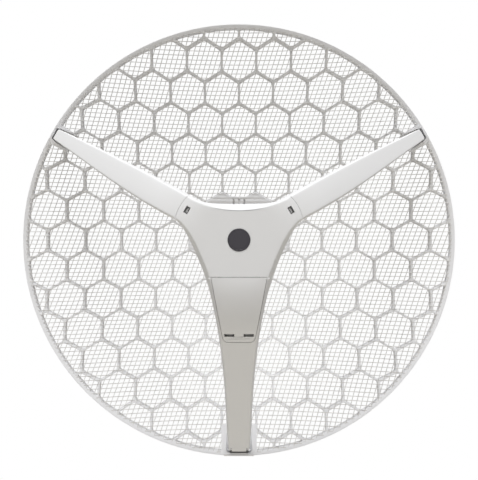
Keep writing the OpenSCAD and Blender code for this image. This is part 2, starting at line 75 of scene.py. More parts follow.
def length(label, about, default):
    """A length property."""
    return bpy.props.FloatProperty(name=label, description=about, default=default, unit="LENGTH", min=0)


class AntennaSizes(bpy.types.PropertyGroup):
    """Sizes that shape the visible pieces"""

    focal: length("Focal length", "Focal length of the paraboloid", 0.22)
    hex_pitch: length("Hexagon pitch", "Distance between the centres of the hexagons", 0.045)
    rib_width: length("Rib width", "Front width of a rib", 0.003)
    rib_depth: length("Rib depth", "Depth of a rib behind the face", 0.012)
    rim_width: length("Rim width", "Front width of the rim", 0.005)
    rim_depth: length("Rim depth", "Depth of the rim", 0.014)
    wire_radius: length("Wire radius", "Radius of a mesh wire with its coat", 0.00047)
    level_pitch: length("Level wire pitch", "Distance between level wires", 0.0053)
    slant_pitch: length("Slanted wire pitch", "Level distance between slanted wires", 0.0063)
    slant: bpy.props.FloatProperty(
        name="Slant", description="Angle of the slanted wires", default=math.radians(71.6), unit="ROTATION")
    wall: length("Cover wall", "Wall thickness of the covers", 0.002)


def colour(label, about, default):
    """A colour property with three parts."""
    return bpy.props.FloatVectorProperty(
        name=label, description=about, default=default, size=3, subtype="COLOR", min=0, max=1)


class AntennaColours(bpy.types.PropertyGroup):
    """Colours of the finishes"""

    cover: colour("Covers", "White plastic of the feed unit", (0.80, 0.80, 0.80))
    grid: colour("Ribs", "White plastic of the rib grid", (0.78, 0.78, 0.785))
    wire: colour("Wires", "Coat of the fine wires", (0.64, 0.635, 0.62))
    badge: colour("Badge", "Dark disc on the front", (0.055, 0.05, 0.06))
    bracket: colour("Bracket", "Glass-filled plastic of the mount", (0.66, 0.66, 0.67))
    steel: colour("Steel", "Bands, bolts and screws", (0.62, 0.63, 0.65))
    board: colour("Board", "Solder mask of the circuit board", (0.012, 0.11, 0.035))


def mm(name):
    """A size from the panel, in millimetres."""
    return getattr(bpy.context.scene.antenna_sizes, name) / MM


def tint(name):
    """A colour from the panel."""
    return tuple(getattr(bpy.context.scene.antenna_colours, name))


# ---------------------------------------------------------------- shapes of the object

ABOVE = 300.0  # a height in front of every piece, where the cutters of the feed unit begin
BEHIND = 100.0  # a height behind the unit's middle, where a cutter that goes right through it ends
MERGE = 2e-6  # metres within which points of a mesh become one

FLAT_R = 45.0  # radius of the flat middle of the feed unit's face
BEND_R = 93.0  # radius of the bend between the flat middle and the slope
BEND = math.radians(40)  # how steep the slope is
UNIT_DEPTH = 28.0  # depth of the feed unit as far out as the first of the two radii
TIP_DEPTH = 15.0  # its depth at the second, where the tips are
DEPTH_RADII = (95, 270)
SPLIT = 0.7  # share of the depth that the front cover takes
ARM_DEGREES = 30  # angle of the right arm above level
ARM_ANGLE = math.radians(ARM_DEGREES)
ARM_END = 269.0  # distance from the axis to the tip of an arm
LEG_END = 269.6  # and to the toe of the lower leg
SEAM_CENTRE = 28.9  # place on an arm's axis of the centre of the arc where it meets the unit
SEAM_RADIUS = 46.0
SEAM_HALF = 20.8  # half the angle of that arc, in degrees
SEAM_GAP = 0.15  # gap between an arm and the unit

DOOR_TOP = 41.0  # distances from the axis down to the ends of the port door
DOOR_BOTTOM = 115.5
DOOR_WIDE = 30.5  # half width of the door at its top
DOOR_NARROW = 17.3  # and at its bottom
DOOR_CORNER = 5.0
DOOR_GAP = 0.5  # gap round the door
LATCH_X = 10.9  # distance of each latch slot from the middle

WINDOW_R = 66.0  # distance from the axis to the catch window of an arm
WINDOW_HALF = (2.5, 4)  # half length along the arm and half width
WINDOW_DEEP = 12
BADGE_R = 12.5
RECESS_GAP, RECESS_DEEP = 0.2, 0.6  # gap round the badge and depth of the recess that it sits in
CATCH_X = 10.3  # place of the two catches at the toe of the leg
CATCH_Y = -264.2
CATCH_RADII = (1.5, 1.3, 1.7)
CATCH_PROUD = 0.3  # height of a catch's middle in front of the face
CATCH_HOLE_Y = -266.5  # middle of the hole below each catch
CATCH_HOLE_HALF = 1.3
CATCH_HOLE_Z = 70.0  # height of the hole's floor


def paraboloid(r):
    """Height of the reflecting face: the square of the radius over four focal lengths."""
    return r * r / (4 * mm("focal"))


def unit_depth(r):
    """Depth of the feed unit: even as far as the first radius, then falling evenly to the second."""
    return np.interp(r, DEPTH_RADII, [UNIT_DEPTH, TIP_DEPTH])


def skin(r, d):
    """Height of the face that lies d behind the front: a flat middle, a circular bend, then a cone."""
    rho = BEND_R - d
    turn_r = FLAT_R + rho * math.sin(BEND)
    turn_z = FRONT_Z - BEND_R + rho * math.cos(BEND)
    bend = FRONT_Z - BEND_R + np.sqrt(np.maximum(rho ** 2 - (r - FLAT_R) ** 2, 0))
    cone = turn_z - (r - turn_r) * math.tan(BEND)
    return np.where(r < FLAT_R, FRONT_Z - d, np.where(r < turn_r, bend, cone))


def to_world(points):
    """Millimetres in the dish frame to metres: (x, y, z) goes to (x, -setback - z, y)."""
    x, y, z = points[..., 0], points[..., 1], points[..., 2]
    return np.stack([x, -SETBACK - z, y], -1) * MM


def spot(x, y, z):
    """A point of the dish frame as a vector in metres."""
    return Vector(to_world(np.array([x, y, z], float)))


def rays(angle):
    """Unit vectors at the given angles."""
    return np.stack([np.cos(angle), np.sin(angle)], -1)


def around(count):
    """Angles evenly spaced over a full turn."""
    return np.linspace(0, 2 * math.pi, count, endpoint=False)


def arc(centre, radius, start, end, count):
    """Points on a circle from one angle to another, in degrees."""
    return np.array(centre, float) + radius * rays(np.radians(np.linspace(start, end, count)))


def bezier(points, count):
    """A cubic Bezier curve: four points weighted by the Bernstein polynomials."""
    t = np.linspace(0, 1, count)[:, None]
    a, b, c, d = (np.array(p, float) for p in points)
    return (1 - t) ** 3 * a + 3 * t * (1 - t) ** 2 * b + 3 * t * t * (1 - t) * c + t ** 3 * d


def turned(points, angle):
    """Plan points turned about the axis."""
    c, s = math.cos(angle), math.sin(angle)
    return points @ np.array([[c, s], [-s, c]])


def mirrored(points):
    """Plan points with x reversed."""
    return points * np.array([-1, 1])


def unit_normals(step):
    """Unit vectors to the right of the steps along a path."""
    normal = np.stack([step[:, 1], -step[:, 0]], -1)
    return normal / np.linalg.norm(normal, axis=1, keepdims=True)


def loop_normals(loop):
    """Outward normals of a closed anticlockwise loop, square to the chord between a point's neighbours."""
    return unit_normals(np.roll(loop, -1, 0) - np.roll(loop, 1, 0))


def smoothed(values, reach):
    """Running mean of a list of values, its ends held."""
    padded = np.pad(values, reach, mode="edge")
    return np.convolve(padded, np.ones(2 * reach + 1) / (2 * reach + 1), mode="valid")


# ---------------------------------------------------------------- making meshes


def grid_faces(rows, cols, wrap_rows=False, wrap_cols=False):
    """Quads between the points of a grid with the given rows and columns."""
    r = np.arange(rows if wrap_rows else rows - 1)[:, None]
    c = np.arange(cols if wrap_cols else cols - 1)[None, :]
    r2, c2 = (r + 1) % rows, (c + 1) % cols
    return np.stack([r * cols + c, r * cols + c2, r2 * cols + c2, r2 * cols + c], -1).reshape(-1, 4)


class Builder:
    """Collects grids of points in the dish frame and makes one mesh of them."""

    def __init__(self):
        self.points, self.faces, self.count = [], [], 0

    def add(self, points, faces):
        """Adds copies of a set of faces: points are copies by points by 3."""
        copies, size = points.shape[:2]
        first = self.count + np.arange(copies)[:, None, None] * size
        self.faces += (np.asarray(faces)[None] + first).reshape(-1, len(faces[0])).tolist()
        self.points.append(points.reshape(-1, 3))
        self.count += copies * size

    def again(self, faces, copies, size):
        """Adds more faces to the copies added last."""
        first = self.count - copies * size + np.arange(copies)[:, None, None] * size
        self.faces += (np.asarray(faces)[None] + first).reshape(-1, len(faces[0])).tolist()

    def sheet(self, points, wrap_rows=False, wrap_cols=False):
        """Adds a grid of points, rows by columns by 3."""
        rows, cols = points.shape[:2]
        self.add(points.reshape(1, -1, 3), grid_faces(rows, cols, wrap_rows, wrap_cols))

    def tubes(self, rings):
        """Adds closed tubes: tubes by rings by sides by 3, with a face over each end."""
        tubes, stations, sides = rings.shape[:3]
        size = stations * sides
        self.add(rings.reshape(tubes, size, 3), grid_faces(stations, sides, wrap_cols=True))
        ends = [np.arange(sides)[::-1], size - sides + np.arange(sides)]
        self.again(ends, tubes, size)

    def tori(self, rings):
        """Adds closed rings: rings by profile points by angles by 3."""
        copies, rows, cols = rings.shape[:3]
        self.add(rings.reshape(copies, rows * cols, 3), grid_faces(rows, cols, True, True))

    def between(self, front, back):
        """Adds a closed slab between two grids of the same rows and columns."""
        self.sheet(front)
        self.sheet(back)
        self.sheet(np.stack([border(front), border(back)]), wrap_cols=True)

    def mesh(self, name):
        """The mesh object in metres, its doubles merged and its normals turned outwards."""
        mesh = bpy.data.meshes.new(name)
        mesh.from_pydata(to_world(np.concatenate(self.points)).tolist(), [], self.faces)
        obj = linked(name, mesh)
        work = bmesh.new()
        work.from_mesh(mesh)
        bmesh.ops.remove_doubles(work, verts=work.verts, dist=MERGE)
        bmesh.ops.recalc_face_normals(work, faces=work.faces)
        work.to_mesh(mesh)
        work.free()
        return obj


def border(grid):
    """The edge of a grid as a loop: along the first row, up the last column, back and down the first."""
    return np.concatenate([grid[0], grid[1:, -1], grid[-1, -2::-1], grid[-2:0:-1, 0]])


def patch(loop, rows, cols):
    """A plan grid inside a loop: lines between the two sides, bent to the ends by the sixth power."""
    low = loop[:cols]
    right = loop[cols - 1:cols - 1 + rows]
    top = loop[cols + rows - 2:2 * cols + rows - 2][::-1]
    left = np.concatenate([loop[2 * cols + rows - 3:], loop[:1]])[::-1]
    u = np.linspace(0, 1, cols)[None, :, None]
    v = np.linspace(0, 1, rows)[:, None, None]
    across = (1 - u) * left[:, None] + u * right[:, None]
    return across + (1 - v) ** 6 * (low - across[0]) + v ** 6 * (top - across[-1])


def shrunk(grid, inset, skip):
    """A plan grid moved inwards: rows resampled past the first few, and each drawn in about its middle."""
    rows = grid.shape[0]
    place = np.linspace(skip, rows - 1 - skip, rows)
    first = np.minimum(place.astype(int), rows - 2)
    part = (place - first)[:, None, None]
    inner = grid[first] * (1 - part) + grid[first + 1] * part
    middle = (inner[:, :1] + inner[:, -1:]) / 2
    width = np.linalg.norm(inner[:, -1:] - inner[:, :1], axis=-1, keepdims=True)
    return middle + (inner - middle) * (1 - 2 * inset / width)


def raised(plan, depth):
    """Plan points lifted to the face that lies the given depth behind the front of the feed unit."""
    z = skin(np.linalg.norm(plan, axis=-1), depth)
    return np.concatenate([plan, z[..., None]], -1)


def draped(plan, height):
    """Plan points lifted to the paraboloid and then by a height."""
    z = paraboloid(np.linalg.norm(plan, axis=-1)) + height
    return np.concatenate([plan, z[..., None]], -1)


def lathe(profile, count, centre=(0, 0)):
    """A closed ring: a closed profile of radius and height carried round an upright axis."""
    angle = around(count)[None, :]
    radius, height = profile[:, :1], profile[:, 1:]
    return np.stack([centre[0] + radius * np.cos(angle), centre[1] + radius * np.sin(angle),
                     height + 0 * angle], -1)


def spindle(stations, y, z, sides=32):
    """A round bar along x through (y, z): a circle at each (x, radius) of the stations."""
    angle = around(sides)[None, :]
    x, radius = stations[:, :1], stations[:, 1:]
    return np.stack([x + 0 * angle, y + radius * np.cos(angle), z + radius * np.sin(angle)], -1)


def prism(outline, low, high):
    """A cutter: a plan outline from one height to another."""
    build = Builder()
    rings = np.stack([np.column_stack([outline, np.full(len(outline), z)]) for z in (low, high)])
    build.tubes(rings[None])
    return build.mesh("cutter")


def oblong(x, y, half_wide, half_high):
    """The outline of a rectangle about a point."""
    corners = np.array([[-1, -1], [1, -1], [1, 1], [-1, 1]])
    return np.array([x, y], float) + corners * (half_wide, half_high)


def linked(name, data):
    """A new object in the scene."""
    obj = bpy.data.objects.new(name, data)
    bpy.context.scene.collection.objects.link(obj)
    return obj


def ball(name, centre, radii, count=24, cap=0.02):
    """An ellipsoid: an angle round it and an angle from pole to pole, with a small flat cap at each."""
    u = around(count)[None, :]
    v = np.linspace(cap, math.pi - cap, count // 2)[:, None]
    unit = np.stack([np.sin(v) * np.cos(u), np.sin(v) * np.sin(u), np.cos(v) + 0 * u], -1)
    build = Builder()
    build.tubes((np.array(centre, float) + unit * np.array(radii, float))[None])
    return build.mesh(name)


def cut(obj, cutters):
    """Takes closed cutters away from a closed piece, and removes them."""
    for cutter in cutters:
        change = obj.modifiers.new("cut", "BOOLEAN")
        change.operation = "DIFFERENCE"
        change.solver = "MANIFOLD"
        change.object = cutter
    bpy.context.view_layer.update()
    graph = bpy.context.evaluated_depsgraph_get()
    result = bpy.data.meshes.new_from_object(obj.evaluated_get(graph))
    obj.modifiers.clear()
    obj.data = result
    for cutter in cutters:
        bpy.data.objects.remove(cutter)
    return obj


def bevelled(obj, width):
    """Breaks the sharp edges of a piece by a width in millimetres."""
    edge = obj.modifiers.new("edge", "BEVEL")
    edge.width = width * MM
    edge.segments = 2
    edge.angle_limit = math.radians(40)
    return obj


def complete(obj, body, slot, nodes, degrees=32):
    """Smooths a piece, keeps its sharp edges, gives it its body and the finish of its slot, and hides the
    CAD nodes it replaces.
    """
    mesh = obj.data
    mesh.polygons.foreach_set("use_smooth", np.ones(len(mesh.polygons), bool))
    mesh.set_sharp_from_angle(angle=math.radians(degrees))
    mesh.materials.clear()
    mesh.materials.append(finish(slot))
    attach(obj, body)
    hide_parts(*nodes)
    return obj


# ---------------------------------------------------------------- finishes


def shader(name, base, roughness, metallic=0.0):
    """A new material with its shader's own values set: the node tree's nodes, links and shader."""
    material = bpy.data.materials.new(name)
    material.use_nodes = True
    nodes, links = material.node_tree.nodes, material.node_tree.links
    bsdf = nodes["Principled BSDF"]
    bsdf.inputs["Base Color"].default_value = (*base, 1)
    bsdf.inputs["Roughness"].default_value = roughness
    bsdf.inputs["Metallic"].default_value = metallic
    return material, nodes, links, bsdf


def placed(nodes, links, pattern, stretch=(1, 1, 1), turn=(0, 0, 0)):
    """Puts a pattern on object coordinates, stretched along the axes and turned about them."""
    place = nodes.new("ShaderNodeTexCoord")
    mapping = nodes.new("ShaderNodeMapping")
    mapping.inputs["Scale"].default_value = stretch
    mapping.inputs["Rotation"].default_value = turn
    links.new(place.outputs["Object"], mapping.inputs["Vector"])
    links.new(mapping.outputs["Vector"], pattern.inputs["Vector"])
    return pattern


def noise(nodes, links, scale, detail, stretch=(1, 1, 1)):
    """A noise pattern's value."""
    pattern = nodes.new("ShaderNodeTexNoise")
    pattern.inputs["Scale"].default_value = scale
    pattern.inputs["Detail"].default_value = detail
    return placed(nodes, links, pattern, stretch).outputs["Fac"]


def ramp(nodes, links, value, low, high, start=0.3, end=0.7):
    """A colour that runs from low to high as a value goes from start to end."""
    band = nodes.new("ShaderNodeValToRGB")
    band.color_ramp.elements[0].position = start
    band.color_ramp.elements[1].position = end
    band.color_ramp.elements[0].color = (*low, 1)
    band.color_ramp.elements[1].color = (*high, 1)
    links.new(value, band.inputs["Fac"])
    return band.outputs["Color"]


def spread(nodes, links, value, low, high):
    """A number that runs from low to high as a value goes from 0 to 1."""
    change = nodes.new("ShaderNodeMapRange")
    change.inputs["To Min"].default_value = low
    change.inputs["To Max"].default_value = high
    links.new(value, change.inputs["Value"])
    return change.outputs["Result"]


def bumped(nodes, links, bsdf, height, strength, distance):
    """Bumps the shader's normal by a height pattern."""
    node = nodes.new("ShaderNodeBump")
    node.inputs["Strength"].default_value = strength
    node.inputs["Distance"].default_value = distance
    links.new(height, node.inputs["Height"])
    links.new(node.outputs["Normal"], bsdf.inputs["Normal"])


def scaled(base, factor):
    """A colour made lighter or darker."""
    return tuple(min(1.0, c * factor) for c in base)


DRIFT_SCALE = 18.0  # size of the drifts of colour: about this many to a metre
DRIFT_DETAIL = 4.0
GRAIN_DETAIL = 2.0
GLOSS_LOW, GLOSS_HIGH = 0.88, 1.12  # shares of the roughness between which the grain varies it
GRAIN_STRENGTH = 0.35


def mottled(name, base, roughness, change, grain, depth, metallic=0.0, stretch=(1, 1, 1)):
    """A finish with drifts of colour by a share of change, over a grain of a scale and a depth in metres."""
    material, nodes, links, bsdf = shader(name, base, roughness, metallic)
    drift = noise(nodes, links, DRIFT_SCALE, DRIFT_DETAIL)
    tone = ramp(nodes, links, drift, scaled(base, 1 - change), scaled(base, 1 + change))
    links.new(tone, bsdf.inputs["Base Color"])
    fine = noise(nodes, links, grain, GRAIN_DETAIL, stretch)
    gloss = spread(nodes, links, fine, roughness * GLOSS_LOW, roughness * GLOSS_HIGH)
    links.new(gloss, bsdf.inputs["Roughness"])
    bumped(nodes, links, bsdf, fine, GRAIN_STRENGTH, depth)
    return material


def cover_plastic():
    """Satin white plastic with a fine spark-eroded grain."""
    return mottled("cover_plastic", tint("cover"), roughness=0.45, change=0.012, grain=2600.0,
                   depth=0.00003)


def radome_plastic():
    """Slightly glossier and darker plastic of the radome."""
    return mottled("radome_plastic", scaled(tint("cover"), 0.98), roughness=0.36, change=0.015,
                   grain=2000.0, depth=0.00002)


def grid_plastic():
    """Smooth white plastic of the rib grid."""
    return mottled("grid_plastic", tint("grid"), roughness=0.5, change=0.025, grain=1500.0, depth=0.00003)


def coated_wire():
    """Thin powder coat over fine wire, with a slight orange peel."""
    return mottled("coated_wire", tint("wire"), roughness=0.55, change=0.05, grain=2200.0, depth=0.00005)


def badge_dark():
    """Satin dark moulding of the badge."""
    return mottled("badge_dark", tint("badge"), roughness=0.32, change=0.08, grain=2400.0, depth=0.00002)


def bracket_plastic():
    """Glass-filled plastic with a coarser, slightly streaky grain."""
    return mottled("bracket_plastic", tint("bracket"), roughness=0.55, change=0.05, grain=1300.0,
                   depth=0.00006, stretch=(1, 1, 0.4))


def steel_band():
    """Stainless band with brush lines round it."""
    return mottled("steel_band", tint("steel"), roughness=0.3, change=0.06, grain=900.0, depth=0.00003,
                   metallic=1.0, stretch=(0.12, 0.12, 4))


def zinc_fasteners():
    """Zinc plated steel: crystals by a cell pattern's distance, and a cloudy gloss by noise."""
    steel = tint("steel")
    material, nodes, links, bsdf = shader("zinc_fasteners", steel, roughness=0.34, metallic=1.0)
    cells = nodes.new("ShaderNodeTexVoronoi")
    cells.inputs["Scale"].default_value = 520.0
    placed(nodes, links, cells)
    far = cells.outputs["Distance"]
    crystals = ramp(nodes, links, far, steel, scaled(steel, 0.82), start=0.1, end=0.9)
    links.new(crystals, bsdf.inputs["Base Color"])
    cloud = noise(nodes, links, scale=240.0, detail=3.0)
    links.new(spread(nodes, links, cloud, low=0.26, high=0.46), bsdf.inputs["Roughness"])
    bumped(nodes, links, bsdf, cloud, strength=0.2, distance=0.00004)
    return material


def tinned_metal():
    """Tinned sheet of the shield and the socket."""
    return mottled("tinned_metal", (0.66, 0.67, 0.69), roughness=0.28, change=0.05, grain=700.0,
                   depth=0.00003, metallic=1.0)


def copper_plate():
    """Bare plated sheet of the feed."""
    return mottled("copper_plate", (0.78, 0.50, 0.26), roughness=0.3, change=0.08, grain=800.0,
                   depth=0.00003, metallic=1.0)


def nylon():
    """Natural nylon of the spacers."""
    return mottled("nylon", (0.78, 0.76, 0.68), roughness=0.4, change=0.03, grain=1200.0, depth=0.00003)


def board_green():
    """Solder mask over copper tracks that run level and upright as faint relief."""
    board = tint("board")
    material, nodes, links, bsdf = shader("board_green", board, roughness=0.3)
    tracks = nodes.new("ShaderNodeTexBrick")
    tracks.inputs["Scale"].default_value = 260.0
    tracks.inputs["Mortar Size"].default_value = 0.05
    relief = placed(nodes, links, tracks, turn=(math.pi / 2, 0, 0)).outputs["Fac"]
    tone = ramp(nodes, links, relief, board, scaled(board, 1.7), start=0.2, end=0.8)
    links.new(tone, bsdf.inputs["Base Color"])
    bumped(nodes, links, bsdf, relief, strength=0.3, distance=0.00004)
    return material


def chip_black():
    """Moulded black packages on the board."""
    return mottled("chip_black", (0.03, 0.03, 0.033), roughness=0.5, change=0.15, grain=2600.0,
                   depth=0.00004)


def led_lens():
    """Clear tinted lens, a little cloudy inside."""
    material = mottled("led_lens", (0.55, 0.75, 0.5), roughness=0.15, change=0.1, grain=1500.0,
                       depth=0.00001)
    material.node_tree.nodes["Principled BSDF"].inputs["Transmission Weight"].default_value = 0.4
    return material


def button_red():
    """Red plastic of the reset button."""
    return mottled("button_red", (0.45, 0.05, 0.04), roughness=0.4, change=0.08, grain=1800.0,
                   depth=0.00003)


FINISHES = [cover_plastic, radome_plastic, grid_plastic, coated_wire, badge_dark, bracket_plastic,
            steel_band, zinc_fasteners, tinned_metal, copper_plate, nylon, board_green, chip_black,
            led_lens, button_red]
MAKERS = {maker.__name__: maker for maker in FINISHES}


def finish(slot):
    """The material of a slot, made when it is first asked for."""
    return bpy.data.materials.get(slot) or MAKERS[slot]()


# ---------------------------------------------------------------- reflector

FILLET = 0.8  # round of the front edges of the ribs and the rim
ROUND = 0.29  # how far the middle of a quarter round of radius 1 lies from each of its two sides
RIB_DRAFT = 0.3  # how much narrower a rib is at its back, on each side
RIB_TUCK = 0.04  # fall of half a rib towards the middle, so that two fronts cross and share no plane
RIB_OVERLAP = 0.3  # how far half a rib runs past the middle of the rib
PART_OVERLAP = 0.7  # the same round a cell that the rim cuts
PART_LEAST = 6.0  # a cell with less than this inside the rim is left out
CORNER_SHARE = 0.58  # distance from the centre of a hexagon to a corner, as a share of the pitch
CORNER_POWER = 24  # rounds the corners of the cells: the higher, the sharper
RIM_BITE = 2.5  # the ribs end this far inside the rim's outer edge
RIM_SIDES = 180

LEG_CLEAR = (16.6, 240)  # half width and near end of the space that the leg's socket takes
ARM_CLEAR = (9.5, 249)  # the same of an arm's socket
POCKET_DROP = 11.0  # how far the ribs are sunk there
POCKET_TOP = 200.0  # a height in front of the sockets, where their cutters begin
ARM_FLOOR = 65.6  # heights of the floors of the pockets
LEG_FLOOR = 71.5
# A socket in plan: its near and far ends, its half width at each and the cut of its outer corners.
ARM_SOCKET = (248, RIM_R - 1.2, 12.6, 14, 5)
LEG_SOCKET = (238.5, RIM_R - 1.2, 22.7, 22.7, 0.5)
LEG_LIP = (271.8, 272.6, 17.2, 17.2, 0.5)
LIP_SLOPE = 4.2  # how far the lip's outer edge leans out
LIP_FALL = 1.5  # and how far it falls for each millimetre of that
SOCKET_PROUD = 0.8  # height of a socket's face above the paraboloid
SOCKET_DEPTH = 22.0  # from the rim's front down to a socket's back
DOWN = -math.pi / 2


def hex_centres():
    """Centres of the hexagons in staggered rows, as many as reach inside the rim."""
    pitch = mm("hex_pitch")
    rows, cols = 7, 8
    row, col = np.meshgrid(np.arange(-rows, rows + 1), np.arange(-cols, cols + 1), indexing="ij")
    x, y = pitch * (col + (abs(row) % 2) / 2), pitch * row * math.sin(math.radians(60))
    centres = np.stack([x, y], -1).reshape(-1, 2)
    return centres[np.linalg.norm(centres, axis=1) < RIM_R + pitch / 2]


def reach(centre, start, ray, half, circle, power=0):
    """Distance along rays to a hexagon's sides or a circle round the axis, whichever is nearer.

    With a power the corners are rounded: the inverse distances are summed to that power.
    """
    sides = rays(np.radians(np.arange(0, 360, 60)))
    room = half - ((start - centre) @ sides.T)
    rate = np.maximum(ray @ sides.T, 0)[None] / room[:, None, :]
    along = start @ ray.T
    to_circle = -along + np.sqrt(along ** 2 + circle ** 2 - (start ** 2).sum(1)[:, None])
    inverse = np.concatenate([rate, 1 / to_circle[..., None]], -1)
    if power:
        return (inverse ** power).sum(-1) ** (-1 / power)
    return 1 / inverse.max(-1)


def in_pocket(plan, grow):
    """Whether plan points lie in the space of an arm's or the leg's socket, grown by a margin."""
    half, near = LEG_CLEAR
    inside = (abs(plan[..., 0]) < half + grow) & (plan[..., 1] < -near + grow)
    half, near = ARM_CLEAR
    for side in (1, -1):
        own = turned(plan * np.array([side, 1]), -ARM_ANGLE)
        inside |= (abs(own[..., 1]) < half + grow) & (own[..., 0] > near - grow)
    return inside


def rib_rings(centres, angles=60):
    """Half ribs round each hexagon's hole, as rings by profile points by angles by 3.

    The profile runs over the front, round a fillet, down the drafted wall and back along the bottom.
    """
    pitch, rib, depth = mm("hex_pitch"), mm("rib_width"), mm("rib_depth")
    hole_r = RIM_R - mm("rim_width")
    far = np.linalg.norm(centres, axis=1)
    outer_end = np.minimum(far + pitch / 2, hole_r)
    middle = (far - pitch / 2 + outer_end) / 2
    whole = far + pitch * CORNER_SHARE < hole_r
    keep = whole | (outer_end - far + pitch / 2 > PART_LEAST)
    start = np.where(whole[:, None], centres, centres * (middle / np.maximum(far, 1))[:, None])
    centres, start, whole = centres[keep], start[keep], whole[keep]
    ray = rays(around(angles))
    hole = (pitch - rib) / 2
    overlap = np.where(whole, RIB_OVERLAP, PART_OVERLAP)[:, None]
    rows = [(reach(centres, start, ray, pitch / 2 + overlap, RIM_R - RIM_BITE), -RIB_TUCK)]
    for out, down in ((FILLET, 0), (FILLET * ROUND, -FILLET * ROUND), (0, -FILLET), (RIB_DRAFT, -depth)):
        rows.append((reach(centres, start, ray, hole + out, hole_r + out, CORNER_POWER), down))
    rows.append((rows[0][0], -depth))
    plan = np.stack([start[:, None] + r[..., None] * ray for r, _ in rows], 1)
    down = np.array([d for _, d in rows])[None, :, None]
    return draped(plan, down - POCKET_DROP * in_pocket(plan, FILLET))


def rim_ring():
    """The rim: a rounded band whose front follows the paraboloid."""
    inner, outer, depth = RIM_R - mm("rim_width"), RIM_R, mm("rim_depth")
    side = FILLET * ROUND
    front = [(inner, -FILLET), (inner + side, -side), (inner + FILLET, 0), (outer - FILLET, 0),
             (outer - side, -side), (outer, -FILLET)]
    profile = [(r, paraboloid(r) + d) for r, d in front]
    back = paraboloid(outer) - depth
    profile += [(outer, back + FILLET), (outer - FILLET, back)]
    profile += [(inner + FILLET, back), (inner, back + FILLET)]
    return lathe(np.array(profile), RIM_SIDES)


def socket_plan(near, end, near_half, end_half, corner, angle):
    """A socket's block in plan: even rows along its arm, with its outer corners cut off."""
    rows, cols = 16, 9
    x = np.linspace(near, end, rows)[:, None]
    half = np.interp(x, [near, end - corner, end], [near_half, end_half, end_half - corner])
    across = np.linspace(-1, 1, cols)
    return turned(np.stack([x + 0 * across, half * across], -1), angle)


def socket_block(build, plan, angle, slope=0.0):
    """A closed block: a face along the paraboloid, an edge that slopes outwards and a flat back."""
    near, end, near_half, end_half, corner = plan
    front = draped(socket_plan(*plan, angle), SOCKET_PROUD)
    wide = socket_plan(near, end + slope, near_half, end_half + slope / 2, corner, angle)
    middle = np.concatenate([wide, front[..., 2:] - LIP_FALL * slope], -1)
    floor = np.full(wide.shape[:2] + (1,), paraboloid(RIM_R) - SOCKET_DEPTH)
    back = np.concatenate([wide, floor], -1)
    build.sheet(front)
    build.sheet(back)
    build.sheet(np.stack([border(front), border(middle), border(back)]), wrap_cols=True)


def pockets():
    """Cutters of the three pockets that hold the tips: two that narrow outwards and a round-toed one."""
    lower = [(238, -11.0), (250, -10.4), (268, -8.6), (272.3, -6.6)]
    upper = [(272.3, 7.3), (268, 9.3), (250, 11.4), (238, 12.2)]
    cutters = []
    for side in (1, -1):
        plan = turned(np.array(lower + upper), ARM_ANGLE) * np.array([side, 1])
        cutters.append(prism(plan, ARM_FLOOR, POCKET_TOP))
    toe_centre, toe_corner, near = (12.0, -267.0), 4.5, -236
    toe = arc(toe_centre, toe_corner, -90, 0, 6)
    half = np.concatenate([toe, [[LEG_CLEAR[0], near]]])
    cutters.append(prism(np.concatenate([half, mirrored(half)[::-1]]), LEG_FLOOR, POCKET_TOP))
    return cutters


# ---------------------------------------------------------------- feed unit

UNIT_ROWS = 150
UNIT_COLS = 33
TOE_STEPS, SHIN_STEPS, CALF_STEPS = 7, 7, 75  # steps up the unit's side, from the toe
SEAM_STEPS = 26  # steps along the seam with an arm
HIP_STEPS = UNIT_ROWS - TOE_STEPS - SHIN_STEPS - CALF_STEPS - SEAM_STEPS
ARM_ROWS = 90
ARM_COLS = 17
TIP_STEPS = 8

# How far the unit's front edge lies inside its widest outline, at heights up its side.
INSET_HEIGHTS = [-271, -240, -115, -70, -30, 0, 21]
INSETS = [1.0, 1.6, 2.2, 3.6, 5.0, 4.4, 1.5]
INSET_SMOOTH = 4  # rows on each side that the running mean of the inset takes
# Fillets of the unit's front edge.
TOE_FILLET, SIDE_FILLET, TOP_FILLET = 1.5, 2.0, 2.2
CROTCH_FILLETS = [1.2, 0.6]
SEAM_FILLET, SHOULDER_FILLET = 0.1, 0.8
FRONT_SEAM = (-18.8, 16.5)  # ends of the seam arc at the unit's front edge, in degrees
SEAM_LEAN = 0.05  # how far the two walls at the seam lean apart towards the front
# How far an arm's front edge lies inside its widest outline, below and above.
ARM_LOW_INSET, ARM_HIGH_INSET = 1.5, 3.0
ARM_TIP_SHARE = 0.3  # share of those insets that is left at the tip
ARM_CORNER = 2.0
ARM_FILLET_RADII = [80, 235, 262]
ARM_FILLETS = [1.8, 1.6, 0.8]
FLOOR_EXTRA = 0.6  # how much further in than its wall the face inside a cover starts
REAR_EDGE = 3.5  # round of the rear cover's back edge
SPLIT_GAP = 0.3  # gap between the two covers
RADOME_HOLE = 28.2  # radius of the hole for the radome
OUTLET_Y = -226.0  # middle of the cable outlet in the leg
OUTLET_HALF = (7, 10)  # its half width and half height
OUTLET_FLOOR = 50.0  # a height behind the leg


def unit_side():
    """Right side of the middle and lower leg at its widest, from the toe to the crotch.

    A toe arc, a straight shin and two Bezier curves that meet at the waist.
    """
    corner = 5
    shin, waist = (15.5, -238), (38, -40)
    crotch = SEAM_RADIUS * rays(math.radians(ARM_DEGREES - SEAM_HALF)) + SEAM_CENTRE * rays(ARM_ANGLE)
    toe = arc((9, corner - LEG_END), corner, -90, 0, TOE_STEPS)
    straight = np.linspace(toe[-1], shin, SHIN_STEPS + 1)[1:]
    calf = bezier([shin, (16.7, -168), (22, -88), waist], CALF_STEPS + 1)[1:]
    hip = bezier([waist, (48, -14), (60, 14.5), crotch], HIP_STEPS + 1)[1:]
    return np.concatenate([toe, straight, calf, hip])


